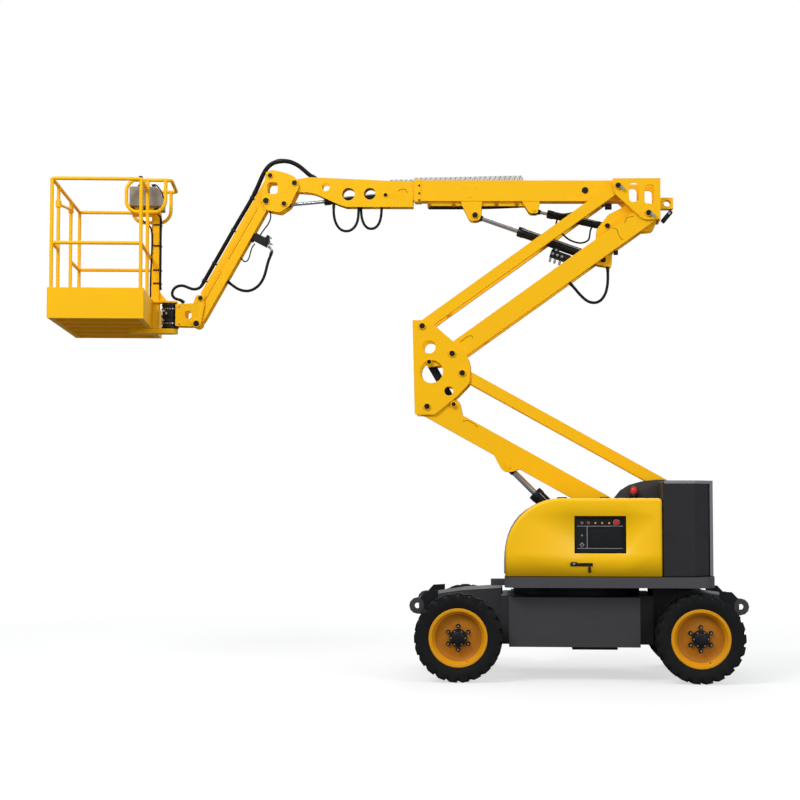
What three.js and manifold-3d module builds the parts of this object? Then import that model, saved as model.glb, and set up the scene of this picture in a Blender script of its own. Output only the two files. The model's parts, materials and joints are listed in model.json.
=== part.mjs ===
// An articulating boom lift: two folding risers, a telescoping boom and a jib with a platform.
// Millimetres, +Z up, ground at z = 0. The boom points to -X and the counterweight is at +X.
import * as THREE from 'three';
import { mergeVertices } from 'three/addons/utils/BufferGeometryUtils.js';
import Module from 'manifold-3d';

const wasm = await Module();
wasm.setup();

// ---- driving dimensions ----
const WHEELBASE = 2000;
const TRACK = 1550; // between tyre centres
const TYRE_R = 368;
const TYRE_W = 240;
const RIM_R = 242;
const HUB_R = 73;

const SLEW_Z = 700; // top of the chassis, under the slewing ring
const TABLE_Z = 785; // underside of the turntable
const DECK_Z = 875; // top of the turntable's deck
const TABLE_FRONT = -615;
const TABLE_REAR = 1140;
const TABLE_HALF = 860;
const CHANNEL_HALF = 225; // inner faces of the channel that the arms fold into

const LOWER_LENGTH = 2100; // between the lower riser's pins
const LOWER_ANGLE = THREE.MathUtils.degToRad(29.25); // above horizontal
const UPPER_LENGTH = 2116;
const UPPER_ANGLE = THREE.MathUtils.degToRad(35.4);
const BOOM_TILT = THREE.MathUtils.degToRad(0.8);
const PLATFORM_YAW = THREE.MathUtils.degToRad(7.2);

const PIN_R = 22;
const PIN_GAP = 1; // radial play round a pin
const SKIN = 0.4; // gap between pieces that touch

// Layers across the machine, as distances from its centre plane.
const INNER_PLATE = [50, 66];
const ARM_LAYER = [80, 136];
const KNUCKLE_LAYER = [142, 160];

// ---- pivots in the X-Z plane ----
const along = (from, length, angle) => [
  from[0] + length * Math.cos(angle),
  from[1] + length * Math.sin(angle),
];
const shift = (p, dx, dz) => [p[0] + dx, p[1] + dz];
const LOWER_TIE_OFFSET = [310, 293];
const UPPER_TIE_OFFSET = [-264, 245];

const mastPin = [533, 1309];
const mastTiePin = shift(mastPin, ...LOWER_TIE_OFFSET);
const kneePin = along(mastPin, LOWER_LENGTH, Math.PI - LOWER_ANGLE);
const kneeTiePin = shift(kneePin, ...LOWER_TIE_OFFSET);
const heelPin = shift(kneePin, 222, 465);
const heelTiePin = shift(heelPin, ...UPPER_TIE_OFFSET);
const topPin = along(heelPin, UPPER_LENGTH, UPPER_ANGLE);
const boomPin = shift(topPin, ...UPPER_TIE_OFFSET);
const linkLowPin = shift(kneePin, 234, 18);
const linkHighPin = shift(heelPin, -203, -72);
const liftRodPin = [-590, 1808];
const liftBasePin = [260, 958];
const boomCylBasePin = [252, 3628];
const boomCylRodPin = [-876, 4038];
const levelBasePin = [292, 3930];
const levelRodPin = [-354, 4080];
const jibBoomPin = [-2489, 4346];
const jibSlavePin = [-2583, 4160];
const jibUpperPin = [-2709, 4416];
const jibLowerPin = [-2746, 4188];
const JIB_REACH = [-624, -1098.5];
const mountUpperPin = shift(jibUpperPin, ...JIB_REACH);
const mountLowerPin = shift(jibLowerPin, ...JIB_REACH);
const slaveBasePin = [-1674, 4231];
const ROTATOR_X = -3624;

// ---- finishes ----
const finish = (color, roughness, metalness) =>
  new THREE.MeshStandardMaterial({ color, roughness, metalness });
const YELLOW = finish(0xf8ba00, 0.4, 0.0);
const HOOD = finish(0xffd000, 0.3, 0.0);
const GREY = finish(0x454345, 0.5, 0.2);
const DARK = finish(0x323132, 0.55, 0.2);
const LIGHT_GREY = finish(0x8e8e8e, 0.5, 0.1);
const BLACK = finish(0x15171a, 0.6, 0.1);
const RUBBER = finish(0x17191c, 0.85, 0.0);
const STEEL = finish(0xc8c9ca, 0.25, 0.9);

// ---- solid helpers ----
function solid(geometry) {
  const bare = geometry.clone();
  bare.deleteAttribute('normal');
  bare.deleteAttribute('uv');
  const merged = mergeVertices(bare, 1e-3);
  return new wasm.Manifold(new wasm.Mesh({
    numProp: 3,
    vertProperties: new Float32Array(merged.attributes.position.array),
    triVerts: new Uint32Array(merged.index.array),
  }));
}

const join = (...parts) => parts.flat(Infinity).reduce((whole, next) => whole.add(next));
const cut = (base, ...tools) => tools.flat(Infinity).reduce((whole, next) => whole.subtract(next), base);

function box(x, y, z) {
  const geometry = new THREE.BoxGeometry(x[1] - x[0], y[1] - y[0], z[1] - z[0]);
  geometry.translate((x[0] + x[1]) / 2, (y[0] + y[1]) / 2, (z[0] + z[1]) / 2);
  return solid(geometry);
}

// A box that is given by its half width across the machine.
const centred = (x, half, z) => box(x, [-half, half], z);

// An outline in X-Z whose corners are [x, z] or [x, z, corner radius].
function outline(corners) {
  const shape = new THREE.Shape();
  const count = corners.length;
  corners.forEach((corner, i) => {
    const at = new THREE.Vector2(corner[0], corner[1]);
    const before = new THREE.Vector2(...corners[(i + count - 1) % count].slice(0, 2));
    const after = new THREE.Vector2(...corners[(i + 1) % count].slice(0, 2));
    const radius = corner[2] ?? 0;
    const enter = at.clone().add(before.sub(at).setLength(radius));
    const leave = at.clone().add(after.sub(at).setLength(radius));
    if (i === 0) shape.moveTo(enter.x, enter.y);
    else shape.lineTo(enter.x, enter.y);
    if (radius > 0) shape.quadraticCurveTo(at.x, at.y, leave.x, leave.y);
  });
  shape.closePath();
  return shape;
}

// A plate cut to an outline in X-Z, standing between two distances across the machine.
function plate(corners, y, curveSegments = 3) {
  const depth = y[1] - y[0];
  const geometry = new THREE.ExtrudeGeometry(outline(corners), { depth, bevelEnabled: false, curveSegments });
  geometry.rotateX(Math.PI / 2);
  geometry.translate(0, y[1], 0);
  return solid(geometry);
}

// A slab whose outline is drawn from above, between two heights.
function outlinePlan(corners, z) {
  const depth = z[1] - z[0];
  const settings = { depth, bevelEnabled: false, curveSegments: 6 };
  const geometry = new THREE.ExtrudeGeometry(outline(corners), settings);
  geometry.translate(0, 0, z[0]);
  return solid(geometry);
}

const mirrored = (y) => [-y[1], -y[0]];
// The same plate on both sides of the centre plane.
const twin = (make, y) => [make(y), make(mirrored(y))];

function rodBetween(from, to, radius, segments = 12) {
  const a = new THREE.Vector3(...from);
  const b = new THREE.Vector3(...to);
  const geometry = new THREE.CylinderGeometry(radius, radius, a.distanceTo(b), segments);
  const heading = b.clone().sub(a).normalize();
  const turn = new THREE.Quaternion().setFromUnitVectors(new THREE.Vector3(0, 1, 0), heading);
  geometry.applyQuaternion(turn);
  const middle = a.clone().add(b).multiplyScalar(0.5);
  geometry.translate(middle.x, middle.y, middle.z);
  return solid(geometry);
}

// A round bar across the machine at a point of the X-Z plane.
const cross = (p, radius, y, segments = 12) =>
  rodBetween([p[0], y[0], p[1]], [p[0], y[1], p[1]], radius, segments);
const crossHalf = (p, radius, half, segments = 12) => cross(p, radius, [-half, half], segments);
const pin = (p, half) => crossHalf(p, PIN_R, half, 10);
const pinHole = (p, half) => crossHalf(p, PIN_R + 3 * PIN_GAP, half, 10);

// A bar in the X-Z plane between two points, past each by an overhang, with a given depth.
function barCorners(from, to, depth, overhangs = [0, 0], offset = 0) {
  const a = new THREE.Vector2(...from);
  const b = new THREE.Vector2(...to);
  const dir = b.clone().sub(a).normalize();
  const side = new THREE.Vector2(-dir.y, dir.x);
  const start = a.clone().addScaledVector(dir, -overhangs[0]).addScaledVector(side, offset);
  const end = b.clone().addScaledVector(dir, overhangs[1]).addScaledVector(side, offset);
  const half = side.clone().multiplyScalar(depth / 2);
  return [start.clone().add(half), start.clone().sub(half), end.clone().sub(half), end.clone().add(half)]
    .map((p) => [p.x, p.y]);
}
const bar = (from, to, depth, y, overhangs, offset) =>
  plate(barCorners(from, to, depth, overhangs, offset), y);

// A hollow rectangular tube in one layer, open at both ends.
function tubeArm(from, to, depth, y, wall, overhangs = [0, 0]) {
  const outer = bar(from, to, depth, y, overhangs);
  const longer = [overhangs[0] + 5, overhangs[1] + 5];
  const inner = bar(from, to, depth - 2 * wall, [y[0] + wall, y[1] - wall], longer);
  return cut(outer, inner);
}

// A hose: an eight-sided section swept along one smooth curve, with caps.
function hose(points, diameter, steps) {
  const route = new THREE.CatmullRomCurve3(points.map((p) => new THREE.Vector3(...p)), false, 'centripetal');
  const sides = 8;
  const section = new THREE.Shape();
  for (let i = 0; i < sides; i += 1) {
    const angle = (2 * Math.PI * i) / sides;
    const x = (diameter / 2) * Math.cos(angle);
    const y = (diameter / 2) * Math.sin(angle);
    if (i === 0) section.moveTo(x, y);
    else section.lineTo(x, y);
  }
  section.closePath();
  return solid(new THREE.ExtrudeGeometry(section, { steps, bevelEnabled: false, extrudePath: route }));
}

const machine = new THREE.Group();

function piece(name, whole, material) {
  const mesh = whole.getMesh();
  const geometry = new THREE.BufferGeometry();
  geometry.setAttribute('position', new THREE.BufferAttribute(new Float32Array(mesh.vertProperties), 3));
  geometry.setIndex(new THREE.BufferAttribute(new Uint32Array(mesh.triVerts), 1));
  geometry.computeVertexNormals();
  const node = new THREE.Mesh(geometry, material);
  node.name = name;
  machine.add(node);
  return node;
}

// ---- chassis ----
const FRAME_X = [-650, 640];
const FRAME_HALF = 470;
const FRAME_Z = [290, SLEW_Z];
const FRAME_WALL = 12;
const NOSE_HALF = 330;
const LUG_X = 1357;
const LUG_Z = 619;
const LUG_Y = 576;
const LUG_R = 70;
const LUG_HOLE_R = 24;
const LUG_THICK = 25;

// The beam that carries one axle and the cross plate with its two tie-down lugs; end is -1 or +1.
function chassisEnd(end) {
  const start = end < 0 ? FRAME_X[0] : FRAME_X[1];
  const crossX = 1320;
  const top = [[start, 760], [end * 990, 738], [end * crossX, 690]];
  const bottom = [[end * crossX, 545], [end * 1190, 455], [end * 760, 455], [start, 400]];
  const beam = plate([...top, ...bottom], [-NOSE_HALF, NOSE_HALF]);
  const hollow = plate([
    [start - end * 30, 760 - FRAME_WALL], [end * 990, 738 - FRAME_WALL],
    [end * (crossX - 12), 690 - FRAME_WALL], [end * (crossX - 12), 545 + FRAME_WALL],
    [end * 1185, 455 + FRAME_WALL], [end * 765, 455 + FRAME_WALL], [start - end * 30, 400 + FRAME_WALL],
  ], [-NOSE_HALF + FRAME_WALL, NOSE_HALF - FRAME_WALL]);
  const wide = LUG_Y + LUG_THICK / 2;
  const crossPlate = box(
    end < 0 ? [-crossX - 24, -crossX + 1] : [crossX - 1, crossX + 24],
    [-wide, wide],
    [548, 688],
  );
  const lugs = [-LUG_Y, LUG_Y].map((y) => {
    const layer = [y - LUG_THICK / 2, y + LUG_THICK / 2];
    const tongueX = end < 0 ? [-LUG_X, -crossX - 10] : [crossX + 10, LUG_X];
    const tongue = box(tongueX, layer, [LUG_Z - LUG_R, LUG_Z + LUG_R]);
    const eye = cross([end * LUG_X, LUG_Z], LUG_R, layer, 12);
    return cut(join(tongue, eye), cross([end * LUG_X, LUG_Z], LUG_HOLE_R, [layer[0] - 5, layer[1] + 5]));
  });
  return { beam: join(beam, crossPlate, ...lugs), hollow };
}

function chassisFrame() {
  const front = chassisEnd(-1);
  const rear = chassisEnd(1);
  const body = centred(FRAME_X, FRAME_HALF, FRAME_Z);
  const inside = centred([FRAME_X[0] + FRAME_WALL, FRAME_X[1] - FRAME_WALL], FRAME_HALF - FRAME_WALL,
    [FRAME_Z[0] + FRAME_WALL, FRAME_Z[1] - FRAME_WALL]);
  const bellyPan = centred([-40, 350], 190, [222, FRAME_Z[0] + FRAME_WALL]);
  const slewHole = rodBetween([0, 0, SLEW_Z - 30], [0, 0, SLEW_Z + 60], 300, 20);
  const lifted = centred([FRAME_X[0] - 1, FRAME_X[1] + 1], NOSE_HALF + 5, [SLEW_Z, SLEW_Z + 80]);
  const ends = cut(join(front.beam, rear.beam), front.hollow, rear.hollow, lifted);
  return join(cut(join(body, ends), inside, slewHole), bellyPan);
}

piece('chassis_frame', chassisFrame(), GREY);

const BOX_X = [-580, 515];
const BOX_Z = [285, 700];
const BOX_Y = [FRAME_HALF + SKIN, 715];
for (const [side, name] of [[-1, 'side_box_near'], [1, 'side_box_far']]) {
  const y = side < 0 ? mirrored(BOX_Y) : BOX_Y;
  const inner = [BOX_Y[0] - 5, BOX_Y[1] - 5];
  const shell = cut(box(BOX_X, y, BOX_Z),
    box([BOX_X[0] + 5, BOX_X[1] - 5], side < 0 ? mirrored(inner) : inner, [BOX_Z[0] + 5, BOX_Z[1] - 5]));
  piece(name, shell, GREY);
}

piece('battery_pack', centred([-560, -100], 400, [FRAME_Z[0] + FRAME_WALL + SKIN, 640]), BLACK);

// ---- axles, knuckles and wheels ----
const AXLE_X = WHEELBASE / 2;
const KINGPIN_Y = 700;
const HUB_FACE_Y = 806; // where the rim's disc bolts on
const WHEEL_SEGMENTS = 20;

function frontAxle() {
  const beam = centred([-AXLE_X - 60, -AXLE_X + 60], 500, [310, 430]);
  const saddle = centred([-AXLE_X - 110, -AXLE_X + 110], 120, [425, 455 - SKIN]);
  const yokes = [-1, 1].flatMap((side) => [[278, 303], [437, 462]].map((z) =>
    join(
      box([-AXLE_X - 60, -AXLE_X + 60], side < 0 ? [-KINGPIN_Y, -460] : [460, KINGPIN_Y], z),
      rodBetween([-AXLE_X, side * KINGPIN_Y, z[0]], [-AXLE_X, side * KINGPIN_Y, z[1]], 60, 14),
    )));
  const cheeks = [-1, 1].map((side) =>
    box([-AXLE_X - 60, -AXLE_X + 60], side < 0 ? [-500, -460] : [460, 500], [278, 462]));
  const kingpins = [-1, 1].map((side) =>
    rodBetween([-AXLE_X, side * KINGPIN_Y, 270], [-AXLE_X, side * KINGPIN_Y, 470], 20));
  return join(beam, saddle, yokes, cheeks, kingpins);
}

function rearAxle() {
  const beam = centred([AXLE_X - 70, AXLE_X + 70], 560, [300, 436]);
  const saddle = centred([AXLE_X - 110, AXLE_X + 110], 150, [430, 455 - SKIN]);
  const drives = [-1, 1].map((side) =>
    rodBetween([AXLE_X, side * 555, TYRE_R], [AXLE_X, side * 770, TYRE_R], 120, 16));
  const spindles = [-1, 1].map((side) =>
    rodBetween([AXLE_X, side * 760, TYRE_R], [AXLE_X, side * (HUB_FACE_Y - 5), TYRE_R], 40));
  return join(beam, saddle, drives, spindles);
}

piece('front_axle', frontAxle(), GREY);
piece('rear_axle', rearAxle(), GREY);

for (const [side, name] of [[-1, 'steer_knuckle_near'], [1, 'steer_knuckle_far']]) {
  const z = [303 + 2, 437 - 2];
  const barrel = rodBetween([-AXLE_X, side * KINGPIN_Y, z[0]], [-AXLE_X, side * KINGPIN_Y, z[1]], 50, 14);
  const spindle = rodBetween(
    [-AXLE_X, side * KINGPIN_Y, TYRE_R], [-AXLE_X, side * (HUB_FACE_Y - 5), TYRE_R], 40,
  );
  const flange = rodBetween([-AXLE_X, side * 760, TYRE_R], [-AXLE_X, side * 780, TYRE_R], 62, 14);
  const bore = rodBetween([-AXLE_X, side * KINGPIN_Y, 200], [-AXLE_X, side * KINGPIN_Y, 500], 21);
  piece(name, cut(join(barrel, spindle, flange), bore), GREY);
}

// A closed ring turned about Y from [radius, distance across the wheel] corners.
function turned(profile, segments) {
  const points = profile.map(([r, y]) => new THREE.Vector2(r, y));
  if (THREE.ShapeUtils.isClockWise(points)) points.reverse();
  points.push(points[0].clone());
  return solid(new THREE.LatheGeometry(points, segments));
}

function wheelParts(side) {
  const half = TYRE_W / 2;
  const tyre = turned([
    [RIM_R + SKIN, -half + 18], [RIM_R + 60, -half], [TYRE_R - 30, -half], [TYRE_R, -half + 40],
    [TYRE_R, half - 40], [TYRE_R - 30, half], [RIM_R + 60, half], [RIM_R + SKIN, half - 18],
  ], WHEEL_SEGMENTS);
  // The disc sits outboard of the middle; out is the outward direction.
  const out = side;
  const rim = turned([
    [RIM_R, -(half - 12) * out], [RIM_R, (half - 12) * out], [RIM_R - 26, (half - 10) * out],
    [196, 66 * out], [175, 44 * out], [45, 44 * out], [45, 32 * out], [180, 32 * out],
    [212, 40 * out], [RIM_R - 14, -(half - 12) * out],
  ], WHEEL_SEGMENTS);
  const hub = turned(
    [[0, 36 * out], [HUB_R, 36 * out], [HUB_R, 92 * out], [50, 104 * out], [0, 104 * out]], 14,
  );
  const bolts = [...Array(6).keys()].map((i) => {
    const angle = (i * Math.PI) / 3;
    const x = 100 * Math.cos(angle);
    const z = 100 * Math.sin(angle);
    return rodBetween([x, 42 * out, z], [x, 62 * out, z], 13, 6);
  });
  return { tyre, rim: join(rim, hub, bolts) };
}

const WHEELS = [['front_near', -1, -1], ['front_far', -1, 1], ['rear_near', 1, -1], ['rear_far', 1, 1]];
for (const [place, end, side] of WHEELS) {
  const parts = wheelParts(side);
  const at = [end * AXLE_X, (side * TRACK) / 2, TYRE_R];
  piece(`tyre_${place}`, parts.tyre, RUBBER).position.set(...at);
  piece(`rim_${place}`, parts.rim, YELLOW).position.set(...at);
}

// ---- slewing ring and turntable ----
const RING_R = 550;
const slewRing = cut(
  rodBetween([0, 0, SLEW_Z + SKIN], [0, 0, TABLE_Z - 3], RING_R, 28),
  rodBetween([0, 0, SLEW_Z - 10], [0, 0, TABLE_Z + 10], 300, 20),
);
piece('slew_ring', slewRing, BLACK);

function turntableFrame() {
  const corner = 90;
  const deck = new THREE.Shape();
  deck.moveTo(TABLE_FRONT + corner, -TABLE_HALF);
  deck.lineTo(TABLE_REAR - 160, -TABLE_HALF);
  deck.quadraticCurveTo(TABLE_REAR, -TABLE_HALF, TABLE_REAR, -TABLE_HALF + 260);
  deck.lineTo(TABLE_REAR, TABLE_HALF - 260);
  deck.quadraticCurveTo(TABLE_REAR, TABLE_HALF, TABLE_REAR - 160, TABLE_HALF);
  deck.lineTo(TABLE_FRONT + corner, TABLE_HALF);
  deck.quadraticCurveTo(TABLE_FRONT, TABLE_HALF, TABLE_FRONT, TABLE_HALF - corner);
  deck.lineTo(TABLE_FRONT, -TABLE_HALF + corner);
  deck.quadraticCurveTo(TABLE_FRONT, -TABLE_HALF, TABLE_FRONT + corner, -TABLE_HALF);
  const slab = new THREE.ExtrudeGeometry(deck, { depth: 30, bevelEnabled: false, curveSegments: 4 });
  slab.translate(0, 0, DECK_Z - 30);
  const skirtDepth = DECK_Z - TABLE_Z - 20;
  const raised = (depth) =>
    new THREE.ExtrudeGeometry(deck, { depth, bevelEnabled: false, curveSegments: 4 });
  const skirt = raised(skirtDepth);
  skirt.translate(0, 0, TABLE_Z);
  const hollow = raised(DECK_Z - TABLE_Z);
  const scaleX = 1 - 40 / (TABLE_REAR - TABLE_FRONT);
  const scaleY = 1 - 20 / TABLE_HALF;
  hollow.scale(scaleX, scaleY, 1);
  hollow.translate((1 - scaleX) * (TABLE_FRONT + TABLE_REAR) / 2, 0, TABLE_Z - 20);
  const rim = cut(join(solid(skirt), solid(slab)), solid(hollow));
  const ringPlate = rodBetween([0, 0, TABLE_Z], [0, 0, DECK_Z - 10], 420, 20);
  const mastPlate = (y) => plate([
    [mastPin[0] - 110, DECK_Z - 10], [mastPin[0] - 160, 1180, 60], [mastPin[0] - 130, 1430, 80],
    [mastTiePin[0] - 170, 1676, 130], [mastTiePin[0] + 110, 1686, 60], [mastTiePin[0] + 110, DECK_Z - 10],
  ], y);
  const mast = twin(mastPlate, [KNUCKLE_LAYER[0], KNUCKLE_LAYER[1] + 6]);
  const web = centred([mastTiePin[0] + 96, mastTiePin[0] + 110], KNUCKLE_LAYER[0] + 5, [DECK_Z - 10, 1500]);
  const lugPlate = (y) => plate([
    [liftBasePin[0] - 90, DECK_Z - 10], [liftBasePin[0] - 45, liftBasePin[1] + 45, 40],
    [liftBasePin[0] + 45, liftBasePin[1] + 45, 40], [liftBasePin[0] + 120, DECK_Z - 10],
  ], y);
  const lugs = twin(lugPlate, [74, 94]);
  const pins = [
    pin(mastPin, KNUCKLE_LAYER[1] + 14),
    pin(mastTiePin, KNUCKLE_LAYER[1] + 14),
    pin(liftBasePin, 100),
  ];
  const block = box([TABLE_FRONT - 120, TABLE_FRONT + 5], [-540, -460], [TABLE_Z + 5, DECK_Z - 30]);
  return join(rim, ringPlate, mast, web, lugs, pins, block);
}
piece('turntable_frame', turntableFrame(), DARK);

const CW_X = [700, 1128];
function counterweight() {
  const shape = outlinePlan([
    [CW_X[0], -TABLE_HALF + 8], [CW_X[1] - 170, -TABLE_HALF + 8, 0], [CW_X[1], -TABLE_HALF + 240, 120],
    [CW_X[1], TABLE_HALF - 240, 120], [CW_X[1] - 170, TABLE_HALF - 8], [CW_X[0], TABLE_HALF - 8],
  ], [DECK_Z + SKIN, 1672]);
  const slot = box([CW_X[0] - 5, 985], [-CHANNEL_HALF, CHANNEL_HALF], [DECK_Z - 5, 1700]);
  return cut(shape, slot);
}

piece('counterweight', counterweight(), DARK);

// ---- hoods and the walls that they close on ----
const HOOD_X = [-605, 692];
const HOOD_TOP = 1528;
const HOOD_CURVE = 540;
function hoodCorners(inset, bottom) {
  const x0 = HOOD_X[0] + inset;
  const x1 = HOOD_X[1] - inset;
  const top = HOOD_TOP - inset;
  const curve = HOOD_CURVE - inset;
  return [[x0, bottom], [x1, bottom], [x1, top], [x0, top, curve]];
}

const PANEL_X = [-27, 388];
const PANEL_Z = [1077, 1375];
const HOOD_WALL = 5;
function hood(side) {
  const y = [CHANNEL_HALF + 16, TABLE_HALF - 4];
  const layer = side < 0 ? mirrored(y) : y;
  const inner = side < 0 ? [layer[0] + HOOD_WALL, layer[1] + 30] : [layer[0] - 30, layer[1] - HOOD_WALL];
  const shell = plate(hoodCorners(0, DECK_Z + 6), layer, 10);
  const space = plate(hoodCorners(HOOD_WALL, DECK_Z - 30), inner, 10);
  if (side > 0) return cut(shell, space);
  const window = box([PANEL_X[0] - 6, PANEL_X[1] + 6], [layer[0] - 10, layer[0] + 30],
    [PANEL_Z[0] - 6, PANEL_Z[1] + 6]);
  return cut(shell, space, window);
}
piece('hood_near', hood(-1), HOOD);
piece('hood_far', hood(1), HOOD);

const WALL_Y = [CHANNEL_HALF, CHANNEL_HALF + 8];
for (const [side, name] of [[-1, 'channel_wall_near'], [1, 'channel_wall_far']]) {
  const y = side < 0 ? mirrored(WALL_Y) : WALL_Y;
  const corners = hoodCorners(-22, DECK_Z + SKIN);
  const wall = plate([corners[0], [CW_X[0] - SKIN, corners[1][1]], [CW_X[0] - SKIN, HOOD_TOP - 10],
    [corners[3][0], HOOD_TOP - 10, HOOD_CURVE]], y, 12);
  piece(name, wall, LIGHT_GREY);
}

function controlPanel() {
  const outer = -TABLE_HALF + 20;
  const face = box([PANEL_X[0], PANEL_X[1]], [outer, outer + 60], PANEL_Z);
  const recess = box(
    [PANEL_X[0] + 12, PANEL_X[1] - 12], [outer - 5, outer + 18], [PANEL_Z[0] + 12, PANEL_Z[1] - 12],
  );
  const bracket = box([PANEL_X[0] + 100, PANEL_X[1] - 100], [outer + 55, -WALL_Y[1] - SKIN],
    [PANEL_Z[0] + 60, PANEL_Z[0] + 120]);
  return join(cut(face, recess), bracket);
}
piece('ground_control_panel', controlPanel(), BLACK);

// ---- risers ----
const MAIN_DEPTH = 170;
const TIE_DEPTH = 96;
const ARM_WALL = 6;

// Two tubes side by side with a boss round each pin and one tube across.
function armPair(from, to, depth, wall, layer, crossAt) {
  const tubes = twin((y) => tubeArm(from, to, depth, y, wall, [30, 30]), layer);
  const bosses = [from, to].flatMap((p) => twin((y) => cross(p, depth / 2 + 4, y, 12), layer));
  const tie = crossHalf(crossAt, 24, layer[0] + 5);
  const away = new THREE.Vector2(to[0] - from[0], to[1] - from[1]).setLength(200);
  const drain = crossHalf(shift(from, away.x, away.y), 20, layer[0] + wall + 1);
  return cut(join(tubes, bosses, tie), drain);
}

function lowerArm() {
  const toward = (d) => along(mastPin, d, Math.PI - LOWER_ANGLE);
  const crossAt = toward(700);
  const base = armPair(mastPin, kneePin, MAIN_DEPTH, ARM_WALL, ARM_LAYER, crossAt);
  const ear = (y) => plate([
    [...toward(LOWER_LENGTH - 30)], [linkLowPin[0] - 45, linkLowPin[1] + 45, 20],
    [linkLowPin[0] + 45, linkLowPin[1] + 40, 30],
    [...toward(LOWER_LENGTH - 380)],
  ], y);
  const bracket = (y) => plate([
    [...shift(toward(1480), 0, 30)], [...shift(toward(1480), -10, -30)],
    [liftRodPin[0] - 52, liftRodPin[1] - 40, 30], [liftRodPin[0] + 30, liftRodPin[1] - 52, 30],
    [...shift(toward(1130), 0, -60)], [...shift(toward(1130), 0, 30)],
  ], y);
  const inboard = ARM_LAYER[0] + ARM_WALL + 1;
  const holes = [
    pinHole(mastPin, 200), pinHole(kneePin, 200),
    crossHalf(toward(1620), 20, inboard), crossHalf([-1206, 2367], 12, inboard),
  ];
  const stub = (y) => cross(liftRodPin, PIN_R, y);
  const pins = [pin(linkLowPin, ARM_LAYER[1] + 2), twin(stub, [ARM_LAYER[0] - 6, ARM_LAYER[1] + 6])];
  return join(cut(join(base, twin(ear, ARM_LAYER), twin(bracket, ARM_LAYER)), holes), pins);
}

function lowerTie() {
  const crossAt = along(mastTiePin, 1500, Math.PI - LOWER_ANGLE);
  const base = armPair(mastTiePin, kneeTiePin, TIE_DEPTH, ARM_WALL, ARM_LAYER, crossAt);
  return cut(base, pinHole(mastTiePin, 200), pinHole(kneeTiePin, 200));
}

function upperArm() {
  const crossAt = along(heelPin, 300, UPPER_ANGLE);
  const base = armPair(heelPin, topPin, MAIN_DEPTH, ARM_WALL, ARM_LAYER, crossAt);
  const heel = (y) => plate([
    [heelPin[0] + 60, heelPin[1] + 80], [heelPin[0] - 40, heelPin[1] + 70, 30],
    [linkHighPin[0] - 45, linkHighPin[1] + 30, 25], [linkHighPin[0] - 20, linkHighPin[1] - 48, 25],
    [heelPin[0] + 20, heelPin[1] - 84],
  ], y);
  const holes = [pinHole(heelPin, 200), pinHole(topPin, 200)];
  const stubs = twin((y) => cross(linkHighPin, PIN_R, y), [ARM_LAYER[0] - 6, ARM_LAYER[1] + 2]);
  return join(cut(join(base, twin(heel, ARM_LAYER)), holes), stubs);
}

function upperTie() {
  const crossAt = along(heelTiePin, 250, UPPER_ANGLE);
  const base = armPair(heelTiePin, boomPin, TIE_DEPTH, ARM_WALL, ARM_LAYER, crossAt);
  return cut(base, pinHole(heelTiePin, 200), pinHole(boomPin, 200));
}

function midKnuckle() {
  const side = (y) => plate([
    [-1427, 3098], [-1308, 3098], [-1228, 3047], [-946, 2799, 60], [-921, 2700], [-921, 2540, 40],
    [-1034, 2424], [-1231, 2262, 20], [-1408, 2262, 20],
  ], y, 4);
  const holes = [[-1280, 2859, 57], [-1260, 2642, 102], [-1107, 2470, 40]]
    .map(([x, z, r]) => crossHalf([x, z], r, 300, 16));
  const plates = cut(join(...twin(side, KNUCKLE_LAYER)), holes);
  const spacer = crossHalf([-1385, 2500], 20, KNUCKLE_LAYER[0] + 4);
  const pins = [kneePin, kneeTiePin, heelPin, heelTiePin].map((p) => pin(p, KNUCKLE_LAYER[1] + 10));
  return join(plates, spacer, pins);
}

function timingLink() {
  const link = bar(linkLowPin, linkHighPin, 70, [-60, 60], [0, 0]);
  const ends = [linkLowPin, linkHighPin].map((p) => crossHalf(p, 38, 60, 14));
  return cut(join(link, ends), pinHole(linkLowPin, 90), crossHalf(linkHighPin, PIN_R + 6, 90));
}

piece('lower_arm', lowerArm(), YELLOW);
piece('lower_tie', lowerTie(), YELLOW);
piece('mid_knuckle', midKnuckle(), YELLOW);
piece('timing_link', timingLink(), YELLOW);
piece('upper_arm', upperArm(), YELLOW);
piece('upper_tie', upperTie(), YELLOW);

function topKnuckle() {
  const side = (y) => plate([
    [330, 4336, 20], [752, 4332], [750, 3970], [600, 3966, 40], [559, 4007], [352, 4200, 30],
  ], y);
  const slots = [[520, 4210], [655, 4190]].map(([x, z]) => plate([
    [x - 42, z - 85, 35], [x + 42, z - 85, 35], [x + 42, z + 85, 35], [x - 42, z + 85, 35],
  ], [-300, 300]));
  const outer = cut(join(...twin(side, KNUCKLE_LAYER)), slots);
  const inner = (y) => plate([
    [600, 4120], [480, 4120], [300, 4030], [197, 3900], [178, 3590, 25], [326, 3562, 25], [334, 3760],
    [560, 3872], [690, 3880, 30], [740, 4010], [700, 4120],
  ], y);
  const innerPlates = twin(inner, INNER_PLATE);
  const back = centred([740, 752], KNUCKLE_LAYER[0] + 4, [3972, 4330]);
  const bridge = crossHalf([668, 3920], 14, 64);
  const heel = box([752, 868], [-70, 30], [4075, 4174]);
  const heelHole = cross([815, 4125], 30, [-90, 50], 20);
  const foot = box([742, 760], [-70, 30], [4075, 4174]);
  const pins = [
    pin(topPin, KNUCKLE_LAYER[1] + 10), pin(boomPin, KNUCKLE_LAYER[1] + 10),
    pin(boomCylBasePin, INNER_PLATE[1] + 8), pin(levelBasePin, INNER_PLATE[1] + 8),
  ];
  return join(outer, innerPlates, back, bridge, cut(join(heel, foot), heelHole), pins);
}
piece('top_knuckle', topKnuckle(), YELLOW);

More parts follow.
